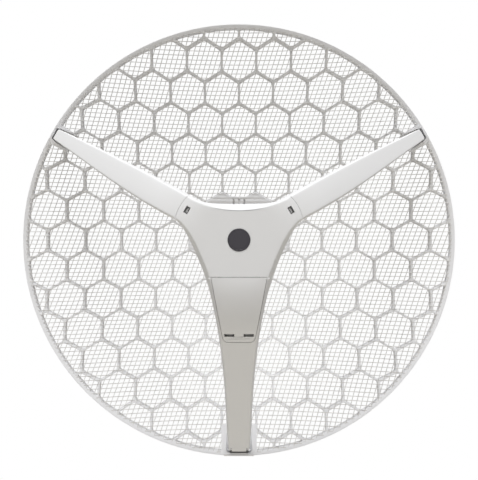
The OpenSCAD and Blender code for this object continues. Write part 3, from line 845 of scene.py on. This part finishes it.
def unit_seam(low, high, radius, count):
    """The seam arc against the right arm, between two angles in degrees from the arm's axis."""
    return turned(arc((SEAM_CENTRE, 0), radius, low, high, count), ARM_ANGLE)


def closed_outline(side, dip, lean, level):
    """A loop from its right side: level bottom, side, a Bezier top through (0, dip) and the mirrored side.

    The top leaves the shoulder by the lean and comes in level from the given distance.
    """
    low = np.linspace(mirrored(side[:1])[0], side[0], UNIT_COLS)
    half = bezier([side[-1], side[-1] - lean, (level, dip), (0, dip)], UNIT_COLS // 2 + 1)
    top = np.concatenate([half, mirrored(half)[::-1][1:]])
    return np.concatenate([low, side[1:], top[1:], mirrored(side)[::-1][1:-1]])


def unit_loops():
    """The unit's outline at its widest and at the front edge, and the fillet radius along it."""
    side = unit_side()
    wide = np.concatenate([side, unit_seam(-SEAM_HALF, SEAM_HALF, SEAM_RADIUS, SEAM_STEPS + 1)[1:]])
    inset = smoothed(np.interp(side[:, 1], INSET_HEIGHTS, INSETS), INSET_SMOOTH)
    front = side - unit_normals(np.gradient(side, axis=0)) * inset[:, None]
    front = np.concatenate([front[:-1], unit_seam(*FRONT_SEAM, SEAM_RADIUS - SEAM_LEAN, SEAM_STEPS + 1)])
    up = np.concatenate([np.full(len(side) - 2, SIDE_FILLET), CROTCH_FILLETS,
                         np.full(SEAM_STEPS - 1, SEAM_FILLET), [SHOULDER_FILLET]])
    toe, top = np.full(UNIT_COLS - 1, TOE_FILLET), np.full(UNIT_COLS - 2, TOP_FILLET)
    radius = np.concatenate([toe, up, top, up[::-1][:-1]])
    back = closed_outline(wide, dip=40.0, lean=(10, 8.5), level=34)
    return back, closed_outline(front, dip=33.4, lean=(17.3, 9.4), level=19.7), radius


def arm_loops():
    """An arm's outlines in its own frame, at its widest and at the front edge, and the fillet radius.

    Both sides are Bezier curves, the inner end is the seam arc and the tip has rounded corners.
    """
    x = ARM_END - ARM_CORNER
    lower = bezier([(73, 16.3), (135, 19.8), (190, 14), (x, 7.3)], ARM_ROWS)
    upper = bezier([(73, 16.3), (118, 16.2), (190, 13.4), (x, 8.2)], ARM_ROWS)
    fade = np.linspace(1, ARM_TIP_SHARE, ARM_ROWS)[:, None]
    loops = []
    for down, up, gap in ((0, 0, 0), (ARM_LOW_INSET, ARM_HIGH_INSET, SEAM_LEAN)):
        low = lower * (1, -1) + fade * (0, down)
        high = upper - fade * (0, up)
        radius = SEAM_RADIUS + SEAM_GAP + gap
        start, stop = (math.degrees(math.asin(h / radius)) for h in (high[0, 1], low[0, 1]))
        seam = arc((SEAM_CENTRE, 0), radius, start, stop, ARM_COLS)
        low[0], high[0] = seam[-1], seam[0]
        tip = [arc((x, low[-1, 1] + ARM_CORNER), ARM_CORNER, -90, 0, TIP_STEPS),
               arc((x, high[-1, 1] - ARM_CORNER), ARM_CORNER, 0, 90, ARM_COLS - TIP_STEPS)]
        loops.append(np.concatenate([seam, low[1:], tip[0][1:], tip[1], high[::-1][1:-1]]))
    radius = np.interp(loops[1][:, 0], ARM_FILLET_RADII, ARM_FILLETS)
    radius[:ARM_COLS] = SEAM_FILLET
    return loops[0], loops[1], radius


def fillet_rings(front, back, depth, radius, steps=6):
    """Rings round a front edge: a circle that touches the face and the wall that leans out to back."""
    normal = loop_normals(front)
    run = np.maximum(((back - front) * normal).sum(1), 0)
    lean = np.arctan2(run, depth)
    reach_in = radius * np.tan((math.pi / 2 - lean) / 2)
    turn = np.linspace(0, 1, steps)[:, None] * (math.pi / 2 - lean)
    out = -reach_in + radius * np.sin(turn)
    return front + out[..., None] * normal, radius * (1 - np.cos(turn))


def shell(build, first, loops, depths, last):
    """A closed shell: a cap grid, rings of plan loops at their depths, and another cap grid."""
    build.sheet(raised(*first))
    build.sheet(np.stack([raised(plan, depth) for plan, depth in zip(loops, depths)]), wrap_cols=True)
    build.sheet(raised(*last))


def depth_at(plan, share):
    """A share of the feed unit's depth at plan points."""
    return unit_depth(np.linalg.norm(plan, axis=-1)) * share


def hollow(build, front, back, radius, rows, cols, split, place=lambda plan: plan):
    """A cover: filleted front face, walls out to the widest outline, and a face inside the wall."""
    wall = mm("wall")
    rings, dips = fillet_rings(front, back, depth_at(back, split), radius)
    lip = border(shrunk(patch(back, rows, cols), wall, skip=2))
    inner = shrunk(patch(front, rows, cols), wall + FLOOR_EXTRA, skip=3)
    loops = [place(loop) for loop in (*rings, back, lip, border(inner))]
    depths = [*dips, depth_at(back, split), depth_at(lip, split), np.full(len(back), wall)]
    shell(build, (place(patch(rings[0], rows, cols)), 0.0), loops, depths, (place(inner), wall))


# ---------------------------------------------------------------- operators


def grid_part(obj, degrees=32):
    """Completes a piece of the rib grid."""
    complete(obj, "antenna", "grid_plastic", ["reflector_grid"], degrees)


class ANTENNA_OT_ribs(bpy.types.Operator):
    """Builds the hexagon ribs of the reflector"""

    bl_idname = "antenna.ribs"
    bl_label = "Ribs"

    def execute(self, context):
        build = Builder()
        build.tori(rib_rings(hex_centres()))
        grid_part(build.mesh("hexagon_ribs"), degrees=40)
        return {"FINISHED"}


class ANTENNA_OT_rim(bpy.types.Operator):
    """Builds the rim and the three sockets that hold the tips of the feed unit"""

    bl_idname = "antenna.rim"
    bl_label = "Rim and sockets"

    def execute(self, context):
        build = Builder()
        build.sheet(rim_ring(), True, True)
        rim = cut(build.mesh("rim"), pockets())
        grid_part(rim, degrees=40)
        build = Builder()
        for angle in (ARM_ANGLE, math.pi - ARM_ANGLE):
            socket_block(build, ARM_SOCKET, angle)
        socket_block(build, LEG_SOCKET, DOWN)
        sockets = bevelled(cut(build.mesh("tip_sockets"), pockets()), width=0.6)
        grid_part(sockets, degrees=35)
        build = Builder()
        socket_block(build, LEG_LIP, DOWN, LIP_SLOPE)
        grid_part(build.mesh("leg_socket_lip"), degrees=35)
        return {"FINISHED"}


MIDDLE_CELLS = 1.1  # cells with centres within this many pitches of the axis are the middle ones
HUB_HOLE = 0.004  # share of the plate's radius at which its rings begin
HUB_FLAT = 0.99  # share of it past which there are no ridges
HUB_RAYS = 288
HUB_RINGS = 70
HUB_TURN = 0.001  # turns the rays a little, so that none runs along a side of a cell
HUB_MARGIN = 0.6  # how far the hub plate runs past the middle cells
HUB_TOP = 59.3  # height at which the notch between its two upper cells is filled
NOTCH_HALF = 14.0  # half width of that filling
STEEP = 0.5  # sine of the least angle above level of a ray that can meet it
HUB_FACE, HUB_FLOOR = 0.5, -3.0  # the plate's front and back, from the paraboloid
RIDGE = 1.0  # height of the ridges on the plate
RIDGE_POWER = 0.7  # below 1, so that the ridges are full and the grooves between them narrow
SLOT_PLACES = [-7.3, 0, 7.3]
SLOT_Y, SLOT_HALF, SLOT_REACH = 51.0, 1.2, 5.0  # place, half width and half height of a slot
SLOT_SPAN = (0.8, 10)  # heights from its floor to past the plate's front
BOSS_X, BOSS_Y = 32, 24
BOSS_BORE, BOSS_R, BOSS_BEVEL = 2.1, 5.5, 0.4
BOSS_TOP = -1  # height where a boss ends inside the plate
BOSS_SIDES = 40


def hub_edge(cells, ray):
    """Distance from the axis to the far side of the middle cells, with the notch at the top filled level.

    A ray leaves a cell at the least distance to the sides it faces, and enters at the greatest to the rest.
    """
    sides = rays(np.radians(np.arange(0, 360, 60)))
    room = mm("hex_pitch") / 2 + HUB_MARGIN + cells @ sides.T
    rate = (sides @ ray.T)[None]
    distance = room[..., None] / rate
    leave = np.where(rate > 0, distance, np.inf).min(1)
    enter = np.where(rate < 0, distance, 0).max(1)
    edge = np.where(leave > enter, leave, 0).max(0)
    level = HUB_TOP / np.maximum(ray[:, 1], STEEP)
    notch = (ray[:, 1] > STEEP) & (level * abs(ray[:, 0]) < NOTCH_HALF)
    return np.where(notch, np.maximum(edge, level), edge)


def hub_faces():
    """The plate's front and back: rings from the axis to its edge, the front with level ridges.

    The ridges are a power of the cosine of the height, so that one lies on each level wire.
    """
    centres = hex_centres()
    middle = centres[np.linalg.norm(centres, axis=1) < MIDDLE_CELLS * mm("hex_pitch")]
    ray = rays(around(HUB_RAYS) + HUB_TURN)
    share = np.linspace(HUB_HOLE, 1, HUB_RINGS)[:, None]
    plan = (share * hub_edge(middle, ray))[..., None] * ray
    ridge = RIDGE * abs(np.cos(math.pi * plan[..., 1] / mm("level_pitch"))) ** RIDGE_POWER
    return draped(plan, HUB_FACE + ridge * (share < HUB_FLAT)), draped(plan, HUB_FLOOR)


class ANTENNA_OT_hub(bpy.types.Operator):
    """Builds the ridged hub plate over the seven middle cells, with its slots and screw bosses"""

    bl_idname = "antenna.hub"
    bl_label = "Hub plate"

    def execute(self, context):
        top, bottom = hub_faces()
        build = Builder()
        build.sheet(top, wrap_cols=True)
        build.sheet(bottom, wrap_cols=True)
        build.sheet(np.stack([top[-1], bottom[-1]]), wrap_cols=True)
        build.sheet(np.stack([top[0], bottom[0]]), wrap_cols=True)
        slots = [prism(oblong(x, SLOT_Y, SLOT_HALF, SLOT_REACH), *SLOT_SPAN) for x in SLOT_PLACES]
        grid_part(cut(build.mesh("hub_plate"), slots), degrees=50)
        self.bosses()
        return {"FINISHED"}

    def bosses(self):
        """Four round bosses behind the plate, each with a bevel round its back end."""
        wall = np.array([[BOSS_BORE, -HUB_BACK], [BOSS_R - BOSS_BEVEL, -HUB_BACK],
                         [BOSS_R, -HUB_BACK + BOSS_BEVEL], [BOSS_R, BOSS_TOP], [BOSS_BORE, BOSS_TOP]])
        build = Builder()
        for x in (-BOSS_X, BOSS_X):
            for y in (-BOSS_Y, BOSS_Y):
                build.sheet(lathe(wall, BOSS_SIDES, (x, y)), True, True)
        grid_part(build.mesh("hub_bosses"))


WIRE_SAMPLES = 1101  # places along each line that are tried against the rim and the sockets
WIRE_LEAST = 6  # a run of no more samples than this is left out
WIRE_END = 3.2  # the wires end this far inside the rim's outer edge
WIRE_CLEAR = 1.5  # and this far from the sockets
WIRE_STEP = -0.3  # the slanted wires lie this far behind the level ones


def wire_runs(start, ray, span):
    """Stretches of straight lines that lie in the reflector and clear of the pockets, as end pairs."""
    t = np.linspace(-span, span, WIRE_SAMPLES)
    plan = start[:, None] + t[None, :, None] * ray
    free = (np.linalg.norm(plan, axis=-1) < RIM_R - WIRE_END) & ~in_pocket(plan, WIRE_CLEAR)
    change = np.diff(np.pad(free.astype(int), ((0, 0), (1, 1))), axis=1)
    line, first = np.nonzero(change == 1)
    last = np.nonzero(change == -1)[1] - 1
    long = last - first > WIRE_LEAST
    return line[long], t[first[long]], t[last[long]]


def wires(build, start, ray, lift, stations=44, sides=6):
    """Round wires draped on the paraboloid: circles square to each wire's tangent."""
    line, begin, end = wire_runs(start, ray, RIM_R)
    share = np.linspace(0, 1, stations)[None, :]
    along = begin[:, None] * (1 - share) + end[:, None] * share
    centre = draped(start[line][:, None] + along[..., None] * ray, lift)
    tangent = np.gradient(centre, axis=1)
    tangent /= np.linalg.norm(tangent, axis=-1, keepdims=True)
    up = np.concatenate([-centre[..., :2] / (2 * mm("focal")), np.ones(centre.shape[:2] + (1,))], -1)
    side = np.cross(tangent, up)
    side /= np.linalg.norm(side, axis=-1, keepdims=True)
    up = np.cross(side, tangent)
    angle = around(sides)[:, None]
    circle = up[:, :, None] * np.cos(angle) + side[:, :, None] * np.sin(angle)
    build.tubes(centre[:, :, None] + mm("wire_radius") * circle)


class ANTENNA_OT_wires(bpy.types.Operator):
    """Builds the level and the slanted wires of the mesh"""

    bl_idname = "antenna.wires"
    bl_label = "Wires"

    def execute(self, context):
        slant = context.scene.antenna_sizes.slant
        self.family("level_wires", mm("level_pitch"), 0.0, 0.0)
        self.family("slanted_wires", mm("slant_pitch") * math.sin(slant), slant, WIRE_STEP)
        return {"FINISHED"}

    def family(self, name, pitch, angle, lift):
        """Parallel wires at an angle, a pitch apart on both sides of the axis."""
        count = int(RIM_R / pitch)
        offset = np.arange(-count, count + 1)[:, None] * pitch
        ray = np.array([math.cos(angle), math.sin(angle)])
        build = Builder()
        wires(build, offset * np.array([-ray[1], ray[0]]), ray, lift)
        complete(build.mesh(name), "antenna", "coated_wire", ["reflector_mesh"], degrees=70)


def cover_part(obj, node, degrees=32):
    """Completes a piece of the covers that rides on the antenna."""
    complete(obj, "antenna", "cover_plastic", [node], degrees)


class ANTENNA_OT_front(bpy.types.Operator):
    """Builds the front cover with its door opening, catch windows, badge recess and catch holes"""

    bl_idname = "antenna.front"
    bl_label = "Front cover"

    def execute(self, context):
        back, front, radius = unit_loops()
        build = Builder()
        hollow(build, front, back, radius, UNIT_ROWS, UNIT_COLS, SPLIT)
        cutters = [prism(door_outline(DOOR_GAP), BEHIND, ABOVE)]
        window = oblong(WINDOW_R, 0, *WINDOW_HALF)
        cutters += [prism(turned(window, angle), FRONT_Z - WINDOW_DEEP, ABOVE)
                    for angle in (ARM_ANGLE, math.pi - ARM_ANGLE)]
        recess = arc((0, 0), BADGE_R + RECESS_GAP, 0, 354, 60)
        cutters.append(prism(recess, FRONT_Z - RECESS_DEEP, ABOVE))
        cutters += [prism(oblong(x, CATCH_HOLE_Y, CATCH_HOLE_HALF, CATCH_HOLE_HALF), CATCH_HOLE_Z, ABOVE)
                    for x in (-CATCH_X, CATCH_X)]
        cover_part(cut(build.mesh("front_shell"), cutters), "front_cover", degrees=28)
        height = float(skin(np.array(-CATCH_Y), -CATCH_PROUD))
        for name, x in (("right_leg_catch", CATCH_X), ("left_leg_catch", -CATCH_X)):
            cover_part(ball(name, (x, CATCH_Y, height), CATCH_RADII), "front_cover")
        return {"FINISHED"}


class ANTENNA_OT_rear(bpy.types.Operator):
    """Builds the rear cover with its round back edge, radome hole and cable outlet"""

    bl_idname = "antenna.rear"
    bl_label = "Rear cover"

    def execute(self, context):
        wide = unit_loops()[0]
        full = patch(wide, UNIT_ROWS, UNIT_COLS)
        wall = mm("wall")
        small = shrunk(full, REAR_EDGE, skip=4)
        lip, inner = border(shrunk(full, wall, skip=2)), shrunk(full, wall + REAR_EDGE / 2, skip=4)
        ring = border(small)
        turn = np.radians(np.linspace(0, 90, 6))
        loops = [ring + (wide - ring) * math.sin(a) for a in turn]
        depths = [depth_at(loop, 1.0) - REAR_EDGE * (1 - math.cos(a)) for loop, a in zip(loops, turn)]
        loops += [wide, lip, border(inner)]
        depths += [depth_at(loop, SPLIT) + SPLIT_GAP for loop in (wide, lip)]
        depths.append(depth_at(border(inner), 1.0) - wall)
        build = Builder()
        shell(build, (small, depth_at(small, 1.0)), loops, depths, (inner, depth_at(inner, 1.0) - wall))
        radome = prism(arc((0, 0), RADOME_HOLE, 0, 356, 90), BEHIND, ABOVE)
        outlet = prism(oblong(0, OUTLET_Y, *OUTLET_HALF), OUTLET_FLOOR, ABOVE)
        cover_part(cut(build.mesh("rear_shell"), [radome, outlet]), "rear_cover", degrees=28)
        return {"FINISHED"}


# An arm's ribs: the radii of the first, of the limit and between them, and how thick each is.
ARM_RIBS = range(105, 250, 35)
ARM_RIB_THICK = 1.8
ARM_RIB_SHARE = 0.85  # share of the arm's depth that a rib takes
ARM_RIB_INSET = 1.0  # how far inside the arm's outer surfaces a rib ends, within its walls
# Half width of an arm at three radii.
ARM_HALF_RADII = [73, 150, 268]
ARM_HALVES = [15.5, 13.6, 7.4]


class ANTENNA_OT_arms(bpy.types.Operator):
    """Builds the two upper arms as open-backed channels with cross ribs, tongue and catch"""

    bl_idname = "antenna.arms"
    bl_label = "Arms"

    def execute(self, context):
        back, front, radius = arm_loops()
        for name, side in (("right_arm", 1), ("left_arm", -1)):
            place = lambda plan: turned(plan, ARM_ANGLE) * np.array([side, 1])
            build = Builder()
            hollow(build, front, back, radius, ARM_ROWS, ARM_COLS, 1.0, place)
            for x in ARM_RIBS:
                half = np.interp(x, ARM_HALF_RADII, ARM_HALVES) - ARM_RIB_INSET
                low = ARM_RIB_SHARE * unit_depth(x)
                self.bar(build, place, (x, x + ARM_RIB_THICK), half, ARM_RIB_INSET, low)
            tongue, hook = (57, 85), (WINDOW_R - 1.4, WINDOW_R + 0.6)
            self.bar(build, place, tongue, half=9.5, high=7.0, low=9.5)
            self.bar(build, place, hook, half=2.8, high=3.6, low=7.5)
            cover_part(build.mesh(name + "_shell"), name, degrees=28)
        return {"FINISHED"}

    def bar(self, build, place, ends, half, high, low):
        """A bar across an arm between two radii, with a width and two depths."""
        plan = np.array([[x, y] for x in ends for y in (-half, half, half, -half)])
        depth = np.array([high, high, low, low] * 2)
        build.tubes(raised(place(plan), depth).reshape(1, 2, 4, 3))


CORNER_STEPS, DOOR_STEPS = 8, 40  # rows round the door's lower corner and up its side


def door_side(top):
    """Right side of the port door up to a height: a round lower corner and a side that widens evenly."""
    start = DOOR_CORNER - DOOR_BOTTOM
    low = DOOR_CORNER * (1 - np.cos(np.radians(np.linspace(0, 80, CORNER_STEPS))))
    y = np.concatenate([low - DOOR_BOTTOM, np.linspace(start, top, DOOR_STEPS)])
    drop = np.maximum(start - y, 0)
    half = np.interp(y, [-DOOR_BOTTOM, -DOOR_TOP], [DOOR_NARROW, DOOR_WIDE])
    return np.stack([half - DOOR_CORNER + np.sqrt(DOOR_CORNER ** 2 - drop ** 2), y], -1)


def door_outline(grow):
    """Outline of the door's opening: the door's own, moved outwards."""
    side = door_side(-DOOR_TOP)
    side = side + grow * unit_normals(np.gradient(side, axis=0))
    side[0, 1] = -DOOR_BOTTOM - grow
    side[-1, 1] += grow
    return np.concatenate([side, mirrored(side)[::-1]])


DOOR_COLS = 25
LATCH_HALF, LATCH_Y, LATCH_REACH = 5.6, -107.0, 1.7  # half width, place and half height of a slot
GROOVES = [(-109.0, 6.0), (-111.3, 12.0)]  # place and half width of each finger groove
GROOVE_HALF, GROOVE_DEEP = 0.35, 0.7
BAR_HALF = 4.6  # half width of a latch bar
BAR_ENDS = [-112, -102]
BAR_DEPTHS = [4.2, 5.4]  # of its front and back behind the skin
DOOR_SHORT = 0.1  # the panel ends this far below the door's top
HINGE_DROP, HINGE_SINK = 1.5, 1.6  # the hinge's line below the door's top and behind the front
# Distance from the middle and radius at each step of the hinge, from the barrel's end out along a pin.
HINGE_STATIONS = [(30.0, 1.5), (30.2, 1.3), (30.2, 1.1), (33.3, 1.1), (33.6, 0.8)]


class ANTENNA_OT_door(bpy.types.Operator):
    """Builds the port door with its hinge barrel, pins, latch slots and latch bars"""

    bl_idname = "antenna.door"
    bl_label = "Port door"

    def execute(self, context):
        self.panel()
        build = Builder()
        for x in (-LATCH_X, LATCH_X):
            low, high = ([(x + u, v) for u in (-BAR_HALF, BAR_HALF)] for v in BAR_ENDS)
            plan = np.array(low + high[::-1])
            build.tubes(np.stack([raised(plan, depth) for depth in BAR_DEPTHS])[None])
        self.part(build.mesh("door_latch_bars"))
        stations = [(-x, r) for x, r in HINGE_STATIONS[::-1]] + HINGE_STATIONS
        build = Builder()
        build.tubes(spindle(np.array(stations), -DOOR_TOP - HINGE_DROP, FRONT_Z - HINGE_SINK)[None])
        self.part(build.mesh("door_hinge_barrel"))
        return {"FINISHED"}

    def part(self, obj, degrees=32):
        """Completes a piece that swings with the door."""
        complete(obj, "port_door", "cover_plastic", ["port_door"], degrees)

    def panel(self):
        """The door's panel: a slab that follows the skin, with two latch slots and two finger grooves."""
        side = door_side(-DOOR_TOP - DOOR_SHORT)[:, None]
        across = np.linspace(-1, 1, DOOR_COLS)
        plan = np.stack([side[..., 0] * across, side[..., 1] + 0 * across], -1)
        build = Builder()
        build.between(raised(plan, 0.0), raised(plan, mm("wall")))
        cutters = [prism(oblong(x, LATCH_Y, LATCH_HALF, LATCH_REACH), BEHIND, ABOVE)
                   for x in (-LATCH_X, LATCH_X)]
        for y, half in GROOVES:
            floor = float(skin(np.array(-y), GROOVE_DEEP))
            cutters.append(prism(oblong(0, y, half, GROOVE_HALF), floor, ABOVE))
        self.part(bevelled(cut(build.mesh("port_door_panel"), cutters), width=0.4), degrees=28)


class ANTENNA_OT_badge(bpy.types.Operator):
    """Builds the plain round badge with one ring groove"""

    bl_idname = "antenna.badge"
    bl_label = "Badge"

    def execute(self, context):
        top, r, axis = FRONT_Z + 0.35, BADGE_R, 0.01
        foot = [(axis, top - 0.9), (r - 0.2, top - 0.9), (r, top - 0.7)]
        edge = [(r, top - 0.25), (r - 0.1, top - 0.07), (r - 0.3, top)]
        groove = [(r - 1.6, top), (r - 1.8, top - 0.2), (r - 2.4, top - 0.2), (r - 2.6, top)]
        build = Builder()
        build.sheet(lathe(np.array(foot + edge + groove + [(axis, top)]), 96), True, True)
        complete(build.mesh("round_badge"), "antenna", "badge_dark", ["front_badge"], degrees=25)
        return {"FINISHED"}


class ANTENNA_OT_hardware(bpy.types.Operator):
    """Gives every CAD node that still shows the finish of its slot"""

    bl_idname = "antenna.hardware"
    bl_label = "Hardware finishes"

    def execute(self, context):
        slots = {row["node"]: row["material_slot"] for row in frame["record"]["subparts"]}
        for name, obj in frame["nodes"].items():
            if not obj.hide_render:
                obj.data.materials.clear()
                obj.data.materials.append(finish(slots[name]))
        return {"FINISHED"}


CAMERA_LENS = 68.9
CAMERA_NEAR = 0.05
CAMERA_Z = 1256.0  # distance of the camera in front of the vertex
TARGET_Z = 120.0  # height of the point of the axis that the lamp faces
LAMP_PLACE = (-0.15, -1.3, 2.8)
LAMP_SIZE, LAMP_POWER, LAMP_TONE = 1.8, 95.0, (0.99, 0.995, 1.0)
FLOOR_HALF, FLOOR_Z, FLOOR_TONE = 12.0, -0.75, (0.80, 0.765, 0.69)
GLOOM, SKY = (0.05, 0.05, 0.05), (0.31, 0.31, 0.32)  # light from straight below and from straight above
SKY_START, SKY_END = 0.15, 0.85
WHITE = (1, 1, 1, 1)


def camera_sees(nodes, links, light, seen, output):
    """Shows one shader to the camera and another to everything else."""
    path, mix = nodes.new("ShaderNodeLightPath"), nodes.new("ShaderNodeMixShader")
    links.new(path.outputs["Is Camera Ray"], mix.inputs["Fac"])
    links.new(light, mix.inputs[1])
    links.new(seen, mix.inputs[2])
    links.new(mix.outputs["Shader"], nodes[output].inputs["Surface"])


class ANTENNA_OT_stage(bpy.types.Operator):
    """Makes the pale floor, the soft studio light and the camera on the reflector's axis"""

    bl_idname = "antenna.stage"
    bl_label = "Stage"

    def execute(self, context):
        self.floor()
        self.world(context.scene)
        self.lamp(spot(0, 0, TARGET_Z))
        camera = linked("camera", bpy.data.cameras.new("camera"))
        camera.data.lens = CAMERA_LENS
        camera.location = spot(0, 0, CAMERA_Z)
        camera.rotation_euler = (math.pi / 2, 0, 0)
        camera.data.clip_start = CAMERA_NEAR
        context.scene.camera = camera
        context.scene.view_settings.view_transform = "Standard"
        return {"FINISHED"}

    def floor(self):
        """A wide floor below the antenna that shows white to the camera and is warm and pale to light."""
        mesh = bpy.data.meshes.new("floor")
        signs = [(-1, -1), (1, -1), (1, 1), (-1, 1)]
        mesh.from_pydata([(x * FLOOR_HALF, y * FLOOR_HALF, FLOOR_Z) for x, y in signs], [], [(0, 1, 2, 3)])
        material, nodes, links, bsdf = shader("floor", FLOOR_TONE, roughness=0.9)
        glow = nodes.new("ShaderNodeEmission")
        glow.inputs["Color"].default_value = WHITE
        camera_sees(nodes, links, bsdf.outputs["BSDF"], glow.outputs["Emission"], "Material Output")
        mesh.materials.append(material)
        obj = linked("floor", mesh)

    def world(self, scene):
        """A white surround whose light fades from the top down."""
        world = bpy.data.worlds.new("studio")
        scene.world = world
        world.use_nodes = True
        nodes, links = world.node_tree.nodes, world.node_tree.links
        light, seen = nodes["Background"], nodes.new("ShaderNodeBackground")
        seen.inputs["Color"].default_value = WHITE
        place, split = nodes.new("ShaderNodeTexCoord"), nodes.new("ShaderNodeSeparateXYZ")
        links.new(place.outputs["Generated"], split.inputs["Vector"])
        height = nodes.new("ShaderNodeMapRange")
        height.inputs["From Min"].default_value = -1
        links.new(split.outputs["Z"], height.inputs["Value"])
        fade = ramp(nodes, links, height.outputs["Result"], GLOOM, SKY, SKY_START, SKY_END)
        links.new(fade, light.inputs["Color"])
        camera_sees(nodes, links, light.outputs["Background"], seen.outputs["Background"], "World Output")

    def lamp(self, target):
        """A square soft light above and in front that faces a point."""
        data = bpy.data.lights.new("key", "AREA")
        data.size = LAMP_SIZE
        data.energy = LAMP_POWER
        data.color = LAMP_TONE
        obj = linked("key", data)
        obj.location = LAMP_PLACE
        obj.rotation_euler = (target - obj.location).to_track_quat("-Z", "Y").to_euler()


PIECES = [ANTENNA_OT_ribs, ANTENNA_OT_rim, ANTENNA_OT_hub, ANTENNA_OT_wires, ANTENNA_OT_front,
          ANTENNA_OT_rear, ANTENNA_OT_arms, ANTENNA_OT_door, ANTENNA_OT_badge, ANTENNA_OT_hardware,
          ANTENNA_OT_stage]


class ANTENNA_PT_panel(bpy.types.Panel):
    """Lists the sizes, the colours and the pieces"""

    bl_label = "Antenna"
    bl_idname = "ANTENNA_PT_panel"
    bl_space_type = "VIEW_3D"
    bl_region_type = "UI"
    bl_category = "Antenna"

    def draw(self, context):
        for group in (context.scene.antenna_sizes, context.scene.antenna_colours):
            box = self.layout.box()
            for name in group.__annotations__:
                box.prop(group, name)
        for piece in PIECES:
            self.layout.operator(piece.bl_idname)


CLASSES = [AntennaSizes, AntennaColours, *PIECES, ANTENNA_PT_panel]


def register():
    """Registers the classes and puts the two property groups on the scene."""
    for cls in CLASSES:
        bpy.utils.register_class(cls)
    bpy.types.Scene.antenna_sizes = bpy.props.PointerProperty(type=AntennaSizes)
    bpy.types.Scene.antenna_colours = bpy.props.PointerProperty(type=AntennaColours)


def unregister():
    """Takes the property groups and the classes away again."""
    del bpy.types.Scene.antenna_colours
    del bpy.types.Scene.antenna_sizes
    for cls in reversed(CLASSES):
        bpy.utils.unregister_class(cls)


def main():
    """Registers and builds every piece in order."""
    register()
    for piece in PIECES:
        getattr(bpy.ops.antenna, piece.bl_idname.split(".")[1])()


if __name__ == "__main__":
    main()
